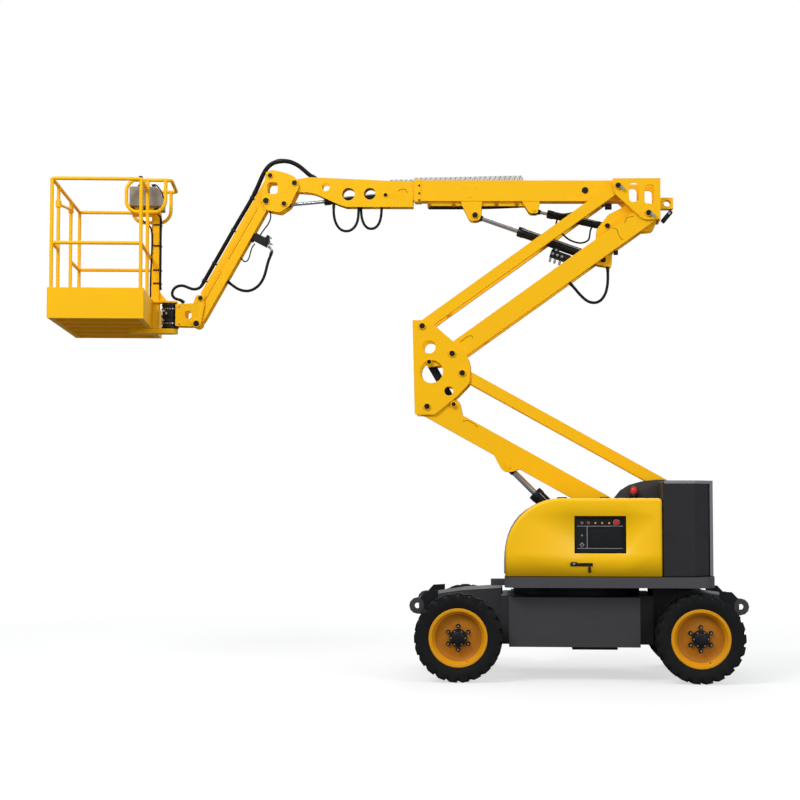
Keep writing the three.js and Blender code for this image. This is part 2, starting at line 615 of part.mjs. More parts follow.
// ---- main boom: drawn along its own axis from the boom pin, then tilted ----
const boomFrame = new THREE.Group();
boomFrame.position.set(boomPin[0], 0, boomPin[1]);
boomFrame.rotation.y = BOOM_TILT;
machine.add(boomFrame);
// A point of the machine in the boom's own frame.
function inBoom(p) {
  const dx = p[0] - boomPin[0];
  const dz = p[1] - boomPin[1];
  return [
    dx * Math.cos(BOOM_TILT) - dz * Math.sin(BOOM_TILT),
    dx * Math.sin(BOOM_TILT) + dz * Math.cos(BOOM_TILT),
  ];
}

const BOOM_X = [-1800, 58];
const BOOM_Z = [-124, 61];
const BOOM_HALF = 74;
const BOOM_WALL = 8;
const boomPoint = {
  liftRod: inBoom(boomCylRodPin),
  levelRod: inBoom(levelRodPin),
  jib: inBoom(jibBoomPin),
  slaveBase: inBoom(slaveBasePin),
};

function boomOuter() {
  const tube = centred(BOOM_X, BOOM_HALF, BOOM_Z);
  const bore = [BOOM_Z[0] + BOOM_WALL, BOOM_Z[1] - BOOM_WALL];
  const hollow = centred([BOOM_X[0] - 5, BOOM_X[1] - 160], BOOM_HALF - BOOM_WALL, bore);
  const collar = cut(centred([BOOM_X[0], BOOM_X[0] + 60], BOOM_HALF + 6, [BOOM_Z[0] - 6, BOOM_Z[1] + 6]),
    centred([BOOM_X[0] - 5, BOOM_X[0] + 65], BOOM_HALF - BOOM_WALL, bore));
  const liftEar = (y) => plate([
    [boomPoint.liftRod[0] - 125, BOOM_Z[0] + 4], [boomPoint.liftRod[0] - 125, BOOM_Z[0] - 20, 10],
    [boomPoint.liftRod[0] - 50, boomPoint.liftRod[1] - 48, 30],
    [boomPoint.liftRod[0] + 48, boomPoint.liftRod[1] - 48, 40], [boomPoint.liftRod[0] + 60, BOOM_Z[0] + 4],
  ], y);
  const levelEar = (y) => plate([
    [boomPoint.levelRod[0] - 110, BOOM_Z[0] + 4],
    [boomPoint.levelRod[0] - 40, boomPoint.levelRod[1] - 30, 20],
    [boomPoint.levelRod[0] + 34, boomPoint.levelRod[1] - 30, 20], [boomPoint.levelRod[0] + 50, BOOM_Z[0] + 4],
  ], y);
  const tray = centred([-1680, -800], 45, [BOOM_Z[0] - 40, BOOM_Z[0] + 4]);
  const body = cut(join(tube, collar, tray), hollow, crossHalf([0, 0], PIN_R + PIN_GAP, 200));
  const pins = [[boomPoint.liftRod, PIN_R], [boomPoint.levelRod, 14]]
    .flatMap(([at, r]) => twin((y) => cross(at, r, y), [48, 78]));
  return join(body, twin(liftEar, [52, 70]), twin(levelEar, [52, 70]), pins);
}

const EXT_HALF = 62;
const EXT_Z = [-112, 49];
const EXT_WALL = 7;
const SKID_Z = -176; // underside of the rail below the inner tube
function boomExtension() {
  const jib = boomPoint.jib;
  const tube = cut(centred([-2390, -420], EXT_HALF, EXT_Z),
    centred([-2400, -410], EXT_HALF - EXT_WALL, [EXT_Z[0] + EXT_WALL, EXT_Z[1] - EXT_WALL]));
  const skid = centred([-2390, -1812], EXT_HALF - 8, [SKID_Z, EXT_Z[0] + 2]);
  const nosePlate = (y) => plate([
    [-1812, EXT_Z[1]], [-2740, 92, 20], [jib[0] - 20, jib[1] + 32, 20], [jib[0] - 38, jib[1] - 20, 20],
    [-2860, -40, 20], [-2700, -50, 60], [-2492, -150, 60], [-2410, SKID_Z], [-1812, SKID_Z],
  ], y, 6);
  const holes = [[inBoom([-2211, 4309]), 36], [inBoom([-2007, 4243]), 57], [inBoom([-1815, 4244]), 53]]
    .map(([p, r]) => crossHalf(p, r, 90, 16));
  const belly = centred([-2420, -2015], 46, [SKID_Z - 10, EXT_Z[0] + 12]);
  const nose = twin(nosePlate, [EXT_HALF - EXT_WALL, EXT_HALF + 2]);
  const body = cut(join(cut(join(tube, skid), belly), nose), holes, crossHalf(jib, PIN_R + PIN_GAP, 200));
  const topSkin = centred([-2560, -2380], EXT_HALF - 3, [EXT_Z[1] - 3, EXT_Z[1] + 4]);
  return join(body, topSkin, crossHalf(boomPoint.slaveBase, 14, EXT_HALF + 4));
}

function intoBoom(name, whole, material) {
  const node = piece(name, whole, material);
  boomFrame.add(node);
  return node;
}
intoBoom('boom_outer', boomOuter(), YELLOW);
intoBoom('boom_extension', boomExtension(), YELLOW);
intoBoom('cable_track', centred([-2030, -820], 34, [BOOM_Z[1] + 6 + SKIN, BOOM_Z[1] + 52]), LIGHT_GREY);

// ---- jib ----
function jibKnuckle() {
  const side = (y) => plate([
    [-2747, 4451, 20], [-2688, 4467, 15], [-2561, 4436], [-2485, 4401, 20], [-2444, 4320, 30],
    [-2532, 4140, 30], [-2623, 4081, 15], [-2745, 4105, 20], [-2790, 4190, 20],
  ], y);
  const hole = plate([
    [-2735, 4250, 30], [-2640, 4250, 30], [-2640, 4355, 30], [-2735, 4355, 30],
  ], [-300, 300]);
  const plates = cut(join(...twin(side, [72, 90])), hole);
  const pins = [
    pin(jibBoomPin, 98), twin((y) => cross(jibSlavePin, 16, y), [68, 98]),
    crossHalf(jibUpperPin, 18, 98), crossHalf(jibLowerPin, 18, 98),
  ];
  return join(plates, pins);
}
piece('jib_knuckle', jibKnuckle(), YELLOW);

function jibUpperArm() {
  const tube = tubeArm(jibUpperPin, mountUpperPin, 70, [-28, 28], 5, [-36, -36]);
  const ends = [jibUpperPin, mountUpperPin].map((p) => crossHalf(p, 34, 28, 12));
  const stubs = [[jibUpperPin, mountUpperPin], [mountUpperPin, jibUpperPin]]
    .map(([a, b]) => bar(a, b, 50, [-28, 28], [0, -1180]));
  const drain = cross(shift(jibUpperPin, JIB_REACH[0] / 5, JIB_REACH[1] / 5), 15, [20, 40]);
  const bores = [jibUpperPin, mountUpperPin].map((p) => crossHalf(p, 19, 90));
  return cut(join(tube, ends, stubs), drain, bores);
}

function jibLowerArm() {
  const layer = [34, 64];
  const tubes = twin((y) => tubeArm(jibLowerPin, mountLowerPin, 84, y, 4, [-40, -40]), layer);
  const ends = [jibLowerPin, mountLowerPin].flatMap((p) => twin((y) => cross(p, 42, y, 12), layer));
  const stubs = [[jibLowerPin, mountLowerPin], [mountLowerPin, jibLowerPin]]
    .flatMap(([a, b]) => twin((y) => bar(a, b, 60, y, [0, -1170]), layer));
  const dir = new THREE.Vector2(...JIB_REACH).normalize();
  const bridgeAt = shift(jibLowerPin, dir.x * 120 - 10, dir.y * 120 - 24);
  const bridge = crossHalf([bridgeAt[0] + 38, bridgeAt[1] - 8], 8, 40);
  const drain = crossHalf(shift(jibLowerPin, JIB_REACH[0] / 5, JIB_REACH[1] / 5), 15, layer[0] + 6);
  const bores = [jibLowerPin, mountLowerPin].map((p) => crossHalf(p, 19, 90));
  return cut(join(tubes, ends, stubs, bridge), drain, bores);
}

function platformMount() {
  const side = (y) => plate([
    [mountUpperPin[0] - 40, mountUpperPin[1] + 30, 20], [mountUpperPin[0] + 34, mountUpperPin[1] + 30, 20],
    [mountUpperPin[0] + 34, mountUpperPin[1] - 60], [mountLowerPin[0] + 36, mountLowerPin[1] - 26, 20],
    [-3546, 3070, 10], [-3546, 3268, 10], [-3400, 3272],
  ], y);
  const hole = plate([
    [-3474, 3135, 25], [-3414, 3135, 25], [-3414, 3205, 25], [-3474, 3205, 25],
  ], [-300, 300]);
  const plates = cut(join(...twin(side, [70, 86])), hole);
  const back = centred([-3560, -3540], 86, [3070, 3268]);
  const pins = [crossHalf(mountUpperPin, 18, 94), crossHalf(mountLowerPin, 18, 94)];
  const rotator = rodBetween([ROTATOR_X, 0, 3049.4], [ROTATOR_X, 0, 3282], 72, 28);
  return { bracket: join(plates, back, pins), rotator: rotator };
}

piece('jib_upper_arm', jibUpperArm(), YELLOW);
piece('jib_lower_arm', jibLowerArm(), YELLOW);
const mount = platformMount();
piece('platform_bracket', mount.bracket, YELLOW);
const rotatorClear = centred([-3560.4, -3500], 100, [3000, 3300]);
piece('rotator_body', cut(mount.rotator, rotatorClear), BLACK);

// ---- platform: drawn about the rotator's axis, then turned ----
const PLATFORM_X = [-962, -158];
const PLATFORM_HALF = 915;
const FLOOR_Z = 3050;
const DECK_TOP = 3090;
const FRAME_TOP = 3084; // the floor's edge frame, on which the posts stand
const TOE_TOP = 3312;
const TOE_WALL = 4;
const RAIL_TOP = 4248;
const RAIL_MID = 3697;
const RAIL_R = 16;
const RAIL_INSET = 25;
const ENTRY_Y = [-500, 290]; // posts each side of the entry
const GUARD_Y = 300; // loops each side of the control box
const GUARD_TOP = 4346;
const ARM_Z = [3006, 3049];

const platformFrame = new THREE.Group();
platformFrame.position.set(ROTATOR_X, 0, 0);
platformFrame.rotation.z = PLATFORM_YAW;
machine.add(platformFrame);
function intoPlatform(name, whole, material) {
  const node = piece(name, whole, material);
  platformFrame.add(node);
  return node;
}

// A box over the platform's plan, drawn in from its edges by an inset.
const floorBox = (inset, z) => box([PLATFORM_X[0] + inset, PLATFORM_X[1] - inset],
  [-PLATFORM_HALF + inset, PLATFORM_HALF - inset], z);

function platformFloor() {
  const edge = TOE_WALL + SKIN;
  const frame = cut(floorBox(edge, [FLOOR_Z, FRAME_TOP]), floorBox(45, [FLOOR_Z - 5, FRAME_TOP + 5]));
  const deck = floorBox(50, [DECK_TOP - 10, DECK_TOP]);
  const ribs = [-0.6, -0.2, 0.2, 0.6].map((f) =>
    box([PLATFORM_X[0] + 20, PLATFORM_X[1] - 20], [f * PLATFORM_HALF - 20, f * PLATFORM_HALF + 20],
      [FLOOR_Z + 1, DECK_TOP - 8]));
  const tongue = box([PLATFORM_X[1] - 200, PLATFORM_X[1] - 20], [-70, 70], [ARM_Z[0], FLOOR_Z + 5]);
  const arm = box([PLATFORM_X[1] - 30, 0], [-70, 70], ARM_Z);
  const seat = rodBetween([0, 0, ARM_Z[0]], [0, 0, ARM_Z[1]], 70, 20);
  return join(frame, ribs, deck, tongue, arm, seat);
}

const toeBoards = () => cut(floorBox(0, [FLOOR_Z, TOE_TOP]), floorBox(TOE_WALL, [FLOOR_Z - 5, TOE_TOP + 5]));

// A rail of round tube through a list of points, with a ball at each turn.
function rail(points) {
  const bars = points.slice(1).map((p, i) => rodBetween(points[i], p, RAIL_R, 8));
  const turns = points.slice(1, -1).map((p) => solid(new THREE.SphereGeometry(RAIL_R, 8, 4).translate(...p)));
  return join(bars, turns);
}

function platformRails() {
  const x = [PLATFORM_X[0] + RAIL_INSET, PLATFORM_X[1] - RAIL_INSET];
  const y = [-PLATFORM_HALF + RAIL_INSET, PLATFORM_HALF - RAIL_INSET];
  const foot = FRAME_TOP + SKIN;
  const topRail = rail([
    [x[1], -GUARD_Y, RAIL_TOP], [x[1], y[0], RAIL_TOP], [x[0], y[0], RAIL_TOP],
    [x[0], y[1], RAIL_TOP], [x[1], y[1], RAIL_TOP], [x[1], GUARD_Y, RAIL_TOP],
  ]);
  const midRail = rail([
    [x[0], ENTRY_Y[0], RAIL_MID], [x[0], y[0], RAIL_MID], [x[1], y[0], RAIL_MID],
    [x[1], y[1], RAIL_MID], [x[0], y[1], RAIL_MID], [x[0], ENTRY_Y[1], RAIL_MID],
  ]);
  const post = (px, py, top) => rodBetween([px, py, foot], [px, py, top], RAIL_R, 8);
  const corners = [[x[0], y[0]], [x[1], y[0]], [x[1], y[1]], [x[0], y[1]]]
    .map(([px, py]) => post(px, py, RAIL_TOP));
  const entry = ENTRY_Y.map((py) => post(x[0], py, RAIL_TOP));
  const guardPosts = [-GUARD_Y, GUARD_Y].map((py) => post(x[1], py, GUARD_TOP));
  const guard = rail([
    [-310, -GUARD_Y, GUARD_TOP], [26, -GUARD_Y, GUARD_TOP],
    [26, GUARD_Y, GUARD_TOP], [-310, GUARD_Y, GUARD_TOP],
  ]);
  const loops = [-GUARD_Y, GUARD_Y].map((py) => rail([
    [-25, py, GUARD_TOP], [-25, py, 4130], [-85, py, 4060], [-310, py, 4060], [-370, py, 4120],
    [-370, py, 4290], [-310, py, GUARD_TOP], [-290, py, GUARD_TOP],
  ]));
  return join(topRail, midRail, corners, entry, guardPosts, guard, loops);
}

// The entry's drop bar hangs tilted from a sleeve round each post.
function gateBar() {
  const x = PLATFORM_X[0] + RAIL_INSET;
  const z = [4093, 4172];
  const sleeves = ENTRY_Y.map((py, i) =>
    cut(rodBetween([x, py, z[i] - 28], [x, py, z[i] + 28], RAIL_R + 9, 14),
      rodBetween([x, py, z[i] - 40], [x, py, z[i] + 40], RAIL_R + 4, 14)));
  const bar = rodBetween([x, ENTRY_Y[0] + RAIL_R + 6, z[0]], [x, ENTRY_Y[1] - RAIL_R - 6, z[1]], 13, 8);
  return join(sleeves, bar);
}

function platformColumn() {
  const x = [PLATFORM_X[1] + SKIN, -100];
  const post = box(x, [-30, 30], [3056, 4092]);
  const seat = box([x[0], 62], [-60, 60], [3282.4, 3299]);
  const gusset = plate([[-105, 3295], [-20, 3295], [-105, 3395]], [-6, 6]);
  const tray = box([-350, -95], [-150, 150], [4088, 4132]);
  return join(post, seat, gusset, tray);
}

function controlBox() {
  const body = plate([
    [-356, 4133], [-65, 4133], [-65, 4240, 30], [-110, 4310, 30], [-356, 4310, 12],
  ], [-190, 190]);
  const stick = rodBetween([-265, -110, 4300], [-265, -110, 4396], 12, 10);
  return join(body, stick);
}

intoPlatform('platform_floor', platformFloor(), YELLOW);
intoPlatform('toe_boards', toeBoards(), YELLOW);
intoPlatform('platform_rails', platformRails(), YELLOW);
intoPlatform('gate_bar', gateBar(), YELLOW);
intoPlatform('platform_column', platformColumn(), YELLOW);
intoPlatform('control_box', controlBox(), LIGHT_GREY);

// ---- hydraulic cylinders ----
// The barrel runs from its pin along the line to the rod's pin; the rod from its own pin back inside.
function cylinder({ base, tip, barrelLength, rodLength, barrelR, rodR, eyeR, basePinR, tipPinR, half }) {
  const a = new THREE.Vector2(...base);
  const b = new THREE.Vector2(...tip);
  const dir = b.clone().sub(a).normalize();
  const at = (d) => a.clone().addScaledVector(dir, d);
  const three = (p) => [p.x, 0, p.y];
  const total = a.distanceTo(b);
  const barrelEye = cut(crossHalf(base, eyeR, half, 14), crossHalf(base, basePinR + PIN_GAP, half + 10));
  const shell = rodBetween(three(at(eyeR * 0.7)), three(at(barrelLength)), barrelR, 16);
  const bore = rodBetween(three(at(eyeR + 25)), three(at(barrelLength + 5)), rodR + 4, 12);
  const barrel = join(cut(shell, bore, crossHalf(base, basePinR + PIN_GAP, half + 10)), barrelEye);
  const clearTip = tipPinR + 6;
  const rodEye = cut(crossHalf(tip, eyeR * 0.9, half, 14), crossHalf(tip, clearTip, half + 10));
  const shaft = rodBetween(three(at(total - eyeR * 0.75)), three(at(total - rodLength)), rodR, 12);
  const rod = cut(join(shaft, rodEye), crossHalf(tip, clearTip, half + 10));
  return { barrel, rod };
}

const CYLINDERS = {
  riser: {
    base: liftBasePin, tip: liftRodPin, barrelLength: 880, rodLength: 890,
    barrelR: 60, rodR: 27, eyeR: 52, basePinR: PIN_R, tipPinR: PIN_R, half: 40,
  },
  boom: {
    base: boomCylBasePin, tip: boomCylRodPin, barrelLength: 800, rodLength: 1075,
    barrelR: 42, rodR: 20, eyeR: 44, basePinR: PIN_R, tipPinR: PIN_R, half: 40,
  },
  level: {
    base: levelBasePin, tip: levelRodPin, barrelLength: 545, rodLength: 560,
    barrelR: 34, rodR: 15, eyeR: 36, basePinR: PIN_R, tipPinR: 14, half: 40,
  },
  slave: {
    base: slaveBasePin, tip: jibSlavePin, barrelLength: 560, rodLength: 600,
    barrelR: 30, rodR: 15, eyeR: 30, basePinR: 14, tipPinR: 16, half: 34,
  },
};
for (const [name, sizes] of Object.entries(CYLINDERS)) {
  const parts = cylinder(sizes);
  piece(`${name}_cylinder_barrel`, parts.barrel, BLACK);
  piece(`${name}_cylinder_rod`, parts.rod, STEEL);
}

// ---- hoses: each hangs free between two fittings ----
const HOSES = {
  hose_boom_to_knuckle: {
    diameter: 40,
    steps: 12,
    points: [
      [-2318, -30, 4400], [-2340, -30, 4412], [-2362, -31, 4427], [-2384, -32, 4446], [-2406, -33, 4466],
      [-2428, -34, 4485], [-2451, -35, 4503], [-2475, -36, 4519], [-2500, -37, 4532], [-2526, -38, 4543],
      [-2552, -38, 4550], [-2572, -38, 4553], [-2592, -38, 4555], [-2612, -38, 4555], [-2632, -38, 4554],
    ],
  },
  hose_knuckle_to_jib: {
    diameter: 40,
    steps: 12,
    points: [
      [-2638, -38, 4553], [-2658, -37, 4549], [-2677, -36, 4543], [-2695, -35, 4535], [-2712, -34, 4525],
      [-2728, -33, 4512], [-2743, -32, 4497], [-2757, -30, 4479], [-2770, -28, 4459], [-2782, -26, 4438],
      [-2793, -24, 4416], [-2804, -21, 4393], [-2815, -18, 4369], [-2826, -15, 4344], [-2838, -12, 4319],
      [-2850, -9, 4294], [-2862, -6, 4270],
    ],
  },
  hose_jib_to_rotator: {
    diameter: 26,
    steps: 18,
    points: [
      [-3330, 0, 3456], [-3350, 2, 3430], [-3378, 4, 3414], [-3412, 6, 3410], [-3446, 6, 3418],
      [-3480, 6, 3432], [-3514, 4, 3442], [-3548, 2, 3440], [-3578, -2, 3426], [-3598, -6, 3402],
      [-3606, -10, 3374], [-3600, -12, 3348], [-3582, -12, 3328], [-3556, -12, 3317], [-3530, -11, 3310],
      [-3508, -10, 3296],
    ],
  },
  hose_extension: {
    diameter: 24,
    steps: 24,
    points: [
      [-2142, -30, 4150], [-2143, -30, 4115], [-2142, -30, 4080], [-2138, -30, 4045], [-2130, -30, 4010],
      [-2117, -30, 3978], [-2099, -30, 3950], [-2077, -30, 3930], [-2052, -30, 3918], [-2026, -30, 3915],
      [-2000, -30, 3919], [-1976, -30, 3932], [-1955, -30, 3952], [-1939, -30, 3978], [-1928, -30, 4008],
      [-1922, -30, 4042], [-1920, -30, 4078], [-1919, -30, 4112], [-1919, -30, 4148],
    ],
  },
  hose_extension_rear: {
    diameter: 24,
    steps: 22,
    points: [
      [-1899, -12, 4142], [-1898, -12, 4108], [-1896, -12, 4074], [-1892, -12, 4042], [-1884, -12, 4010],
      [-1872, -12, 3981], [-1855, -12, 3958], [-1833, -12, 3942], [-1806, -12, 3937], [-1779, -12, 3942],
      [-1757, -12, 3957], [-1740, -12, 3980], [-1728, -12, 4009], [-1720, -12, 4041], [-1716, -12, 4074],
      [-1714, -12, 4108], [-1713, -12, 4142],
    ],
  },
  hose_top_knuckle: {
    diameter: 26,
    steps: 24,
    points: [
      [294, 0, 3560], [295, 0, 3524], [295, 0, 3488], [294, 0, 3452], [291, 0, 3416], [285, 0, 3381],
      [276, 0, 3348], [262, 0, 3317], [243, 0, 3290], [218, 0, 3269], [190, 0, 3258], [160, 0, 3257],
      [131, 0, 3264], [104, 0, 3279], [78, 0, 3300], [54, 0, 3324], [31, 0, 3350], [9, 0, 3377],
      [-13, 0, 3403], [-36, 0, 3428],
    ],
  },
  hose_jib_valve: {
    diameter: 26,
    steps: 20,
    points: [
      [-2708, 0, 3732], [-2720, 0, 3696], [-2734, 0, 3660], [-2745, 0, 3622], [-2754, 0, 3584],
      [-2764, 0, 3546], [-2777, 0, 3509], [-2795, 0, 3474], [-2818, 0, 3443], [-2846, 0, 3418],
      [-2878, 0, 3400], [-2913, 0, 3390], [-2949, 0, 3390], [-2985, 0, 3398], [-3019, 0, 3413],
      [-3050, 0, 3434], [-3080, 0, 3457], [-3108, 0, 3480],
    ],
  },
};
for (const [name, { diameter, steps, points }] of Object.entries(HOSES)) {
  piece(name, hose(points, diameter, steps), BLACK);
}

const whole = new THREE.Group();
whole.add(machine);
machine.position.set(1620, 65, 0);
export default whole;
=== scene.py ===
# %% [markdown]
# ## An articulating boom lift
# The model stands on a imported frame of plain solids, one for each part of the machine. This lesson gives
# each part its finish, rounds the edges that a press brake or a grinder would leave round, and adds the
# small fittings: tyre tread, pins with their keepers, weld beads, switches, hoses and the drag chain.
# Everything is in metres, in the frame's own axes: the boom points to -X, and the ground is at z = 0.

# %% Load the frame
import json
import math

import bmesh
import bpy
from mathutils import Matrix, Vector


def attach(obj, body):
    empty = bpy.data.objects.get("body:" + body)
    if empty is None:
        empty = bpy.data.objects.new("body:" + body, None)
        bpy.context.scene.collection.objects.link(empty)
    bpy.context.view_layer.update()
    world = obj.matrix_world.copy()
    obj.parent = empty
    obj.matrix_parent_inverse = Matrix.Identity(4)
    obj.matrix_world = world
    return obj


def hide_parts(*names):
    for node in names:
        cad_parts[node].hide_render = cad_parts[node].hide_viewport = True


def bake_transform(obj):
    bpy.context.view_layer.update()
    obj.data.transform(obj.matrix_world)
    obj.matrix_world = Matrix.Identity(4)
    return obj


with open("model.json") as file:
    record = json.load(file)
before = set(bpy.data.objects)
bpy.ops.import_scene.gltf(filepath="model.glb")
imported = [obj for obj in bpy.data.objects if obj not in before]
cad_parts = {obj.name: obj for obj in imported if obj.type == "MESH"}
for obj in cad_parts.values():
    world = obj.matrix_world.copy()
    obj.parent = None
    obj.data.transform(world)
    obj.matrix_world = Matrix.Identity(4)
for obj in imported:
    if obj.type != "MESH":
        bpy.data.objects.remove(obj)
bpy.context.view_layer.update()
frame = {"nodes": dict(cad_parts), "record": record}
BODY_OF = {node: body for body, nodes in frame["record"]["behaviour"]["bodies"].items() for node in nodes}

# %% [markdown]
# The machine was drawn about the centre of its slewing ring, in millimetres, and then set down so that the
# middle of its whole box lies over the origin. One function turns such a drawn point into the frame's
# metres, so every place below can be checked against the part's drawing.

# %% Drawing points to frame points
SLEW_CENTRE = Vector((1.620, 0.065, 0.0))
MM = 0.001


def at(x, y, z):
    return SLEW_CENTRE + Vector((x, y, z)) * MM


PLATFORM_TURN = Matrix.Rotation(math.radians(7.2), 4, "Z")
ROTATOR_X = -3624


def on_platform(x, y, z):
    turned = PLATFORM_TURN @ Vector((x, y, z))
    return at(turned.x + ROTATOR_X, turned.y, turned.z)


BOOM_TILT = math.radians(0.8)
BOOM_PIN = (383.6, 4270.9)

# %% [markdown]
# ### Camera, floor and light
# The view is level with the turntable and a little to one side, through a long lens, so the frame's
# uprights stay almost parallel. The floor is a matt white sheet that goes over into plain white far away,
# which hides the horizon and still keeps the shadow under the machine. Light that bounces off it is held
# back, so that the undersides of the arms stay as dark as they are above real ground.

# %% Camera
CAMERA_PLACE = (1.2361, -15.4469, 1.5016)
CAMERA_PITCH, CAMERA_YAW = 0.0578, 0.075
LENS_MM, SENSOR_MM = 78.85, 36
camera = bpy.data.objects.new("camera", bpy.data.cameras.new("camera"))
bpy.context.scene.collection.objects.link(camera)
camera.location = CAMERA_PLACE
camera.rotation_euler = (math.pi / 2 + CAMERA_PITCH, 0, CAMERA_YAW)
camera.data.lens = LENS_MM
camera.data.sensor_width = SENSOR_MM
bpy.context.scene.camera = camera
bpy.context.scene.view_settings.view_transform = "Standard"
print("camera at", tuple(camera.location))


# %% Colours and one node helper
def linear(code):
    """The linear colour of an sRGB hex code such as #F8BA00."""
    parts = [int(code[i:i + 2], 16) / 255 for i in (1, 3, 5)]
    return [c / 12.92 if c <= 0.04045 else ((c + 0.055) / 1.055) ** 2.4 for c in parts] + [1.0]


def add(tree, kind, links=(), values=(), **settings):
    """A node with its settings, its constant inputs and its links from (input, node, output) rows."""
    made = tree.nodes.new(kind)
    for name, value in settings.items():
        setattr(made, name, value)
    for socket, value in values:
        made.inputs[socket].default_value = value
    for socket, source, output in links:
        tree.links.new(source.outputs[output], made.inputs[socket])
    return made


def blank(name):
    material = bpy.data.materials.new(name)
    material.use_nodes = True
    material.node_tree.nodes.clear()
    return material, material.node_tree


# %% Floor and world
FLOOR_NEAR, FLOOR_FAR = 5.0, 9.0
FLOOR_REACH, FLOOR_DROP = 60, 0.001
floor_finish, tree = blank("matt_white_floor")
where = add(tree, "ShaderNodeTexCoord")
reach = add(tree, "ShaderNodeVectorMath", [(0, where, "Object")], operation="LENGTH")
fade = add(tree, "ShaderNodeMapRange", [("Value", reach, "Value")],
           [("From Min", FLOOR_NEAR), ("From Max", FLOOR_FAR)], interpolation_type="SMOOTHSTEP")
grain = add(tree, "ShaderNodeTexNoise", [("Vector", where, "Object")], [("Scale", 120.0)])
tone = add(tree, "ShaderNodeMapRange", [("Value", grain, "Fac")], [("To Min", 0.94), ("To Max", 0.97)])
sheet = add(tree, "ShaderNodeBsdfDiffuse", [("Color", tone, "Result")])
white = add(tree, "ShaderNodeEmission", values=[("Color", (1, 1, 1, 1)), ("Strength", 1.0)])
path = add(tree, "ShaderNodeLightPath")
share = add(tree, "ShaderNodeMapRange", [("Value", fade, "Result")], [("To Min", 0.62), ("To Max", 1.0)])
seen = add(tree, "ShaderNodeMath", [(0, path, "Is Camera Ray"), (1, share, "Result")], operation="MULTIPLY")
dull = add(tree, "ShaderNodeBsdfDiffuse", values=[("Color", (0.22, 0.22, 0.23, 1))])
struck = add(tree, "ShaderNodeMixShader", [(0, path, "Is Camera Ray"), (1, dull, "BSDF"), (2, sheet, "BSDF")])
mixed = add(tree, "ShaderNodeMixShader", [(0, seen, "Value"), (1, struck, "Shader"), (2, white, "Emission")])
add(tree, "ShaderNodeOutputMaterial", [("Surface", mixed, "Shader")])

bm = bmesh.new()
bmesh.ops.create_grid(bm, x_segments=1, y_segments=1, size=FLOOR_REACH)
floor_mesh = bpy.data.meshes.new("floor")
bm.to_mesh(floor_mesh)
bm.free()
floor = bpy.data.objects.new("floor", floor_mesh)
floor_mesh.materials.append(floor_finish)
bpy.context.scene.collection.objects.link(floor)
floor.location.z = -FLOOR_DROP

world = bpy.data.worlds.new("studio")
bpy.context.scene.world = world
world.use_nodes = True
sky = world.node_tree
sky.nodes.clear()
ray = add(sky, "ShaderNodeLightPath")
direct = add(sky, "ShaderNodeMath", [(0, ray, "Is Camera Ray"), (1, ray, "Is Transmission Ray")],
             operation="MAXIMUM")
towards = add(sky, "ShaderNodeTexCoord")
height = add(sky, "ShaderNodeSeparateXYZ", [("Vector", towards, "Generated")])
rise = add(sky, "ShaderNodeMapRange", [("Value", height, "Z")],
           [("From Min", -0.15), ("From Max", 0.20), ("To Min", 0.08), ("To Max", 0.66)])
dome = add(sky, "ShaderNodeBackground", [("Strength", rise, "Result")], [("Color", (0.93, 0.96, 1.0, 1))])
backdrop = add(sky, "ShaderNodeBackground", values=[("Color", (1, 1, 1, 1)), ("Strength", 1.0)])
either = add(sky, "ShaderNodeMixShader",
             [(0, direct, "Value"), (1, dome, "Background"), (2, backdrop, "Background")])
add(sky, "ShaderNodeOutputWorld", [("Surface", either, "Shader")])


def lamp(name, place, target, size, watts):
    data = bpy.data.lights.new(name, "AREA")
    data.shape = "DISK"
    data.size = size
    data.energy = watts
    made = bpy.data.objects.new(name, data)
    bpy.context.scene.collection.objects.link(made)
    made.location = place
    made.rotation_euler = (Vector(target) - Vector(place)).to_track_quat("-Z", "Y").to_euler()


lamp("key", (-5.0, -8.5, 10.5), (0, 0, 2), 5.0, 880)
lamp("fill", (9.0, -9.0, 5.0), (0, 0, 2), 6.0, 350)
lamp("back", (2.0, 9.0, 9.0), (0, 0, 2.5), 6.0, 380)
print("floor, world and three lamps")

# %% [markdown]
# ### Finishes
# The steel arms are powder coated: the yellow powder melts into a skin with a faint orange peel and small
# changes of gloss. The hoods are moulded plastic with a smoother, glossier face. Castings keep the grain of
# the sand, black brackets are thinly painted, piston rods are chrome, and hoses and tyres are black rubber.
# Each pattern is a noise whose scale comes from the size of the real grain.

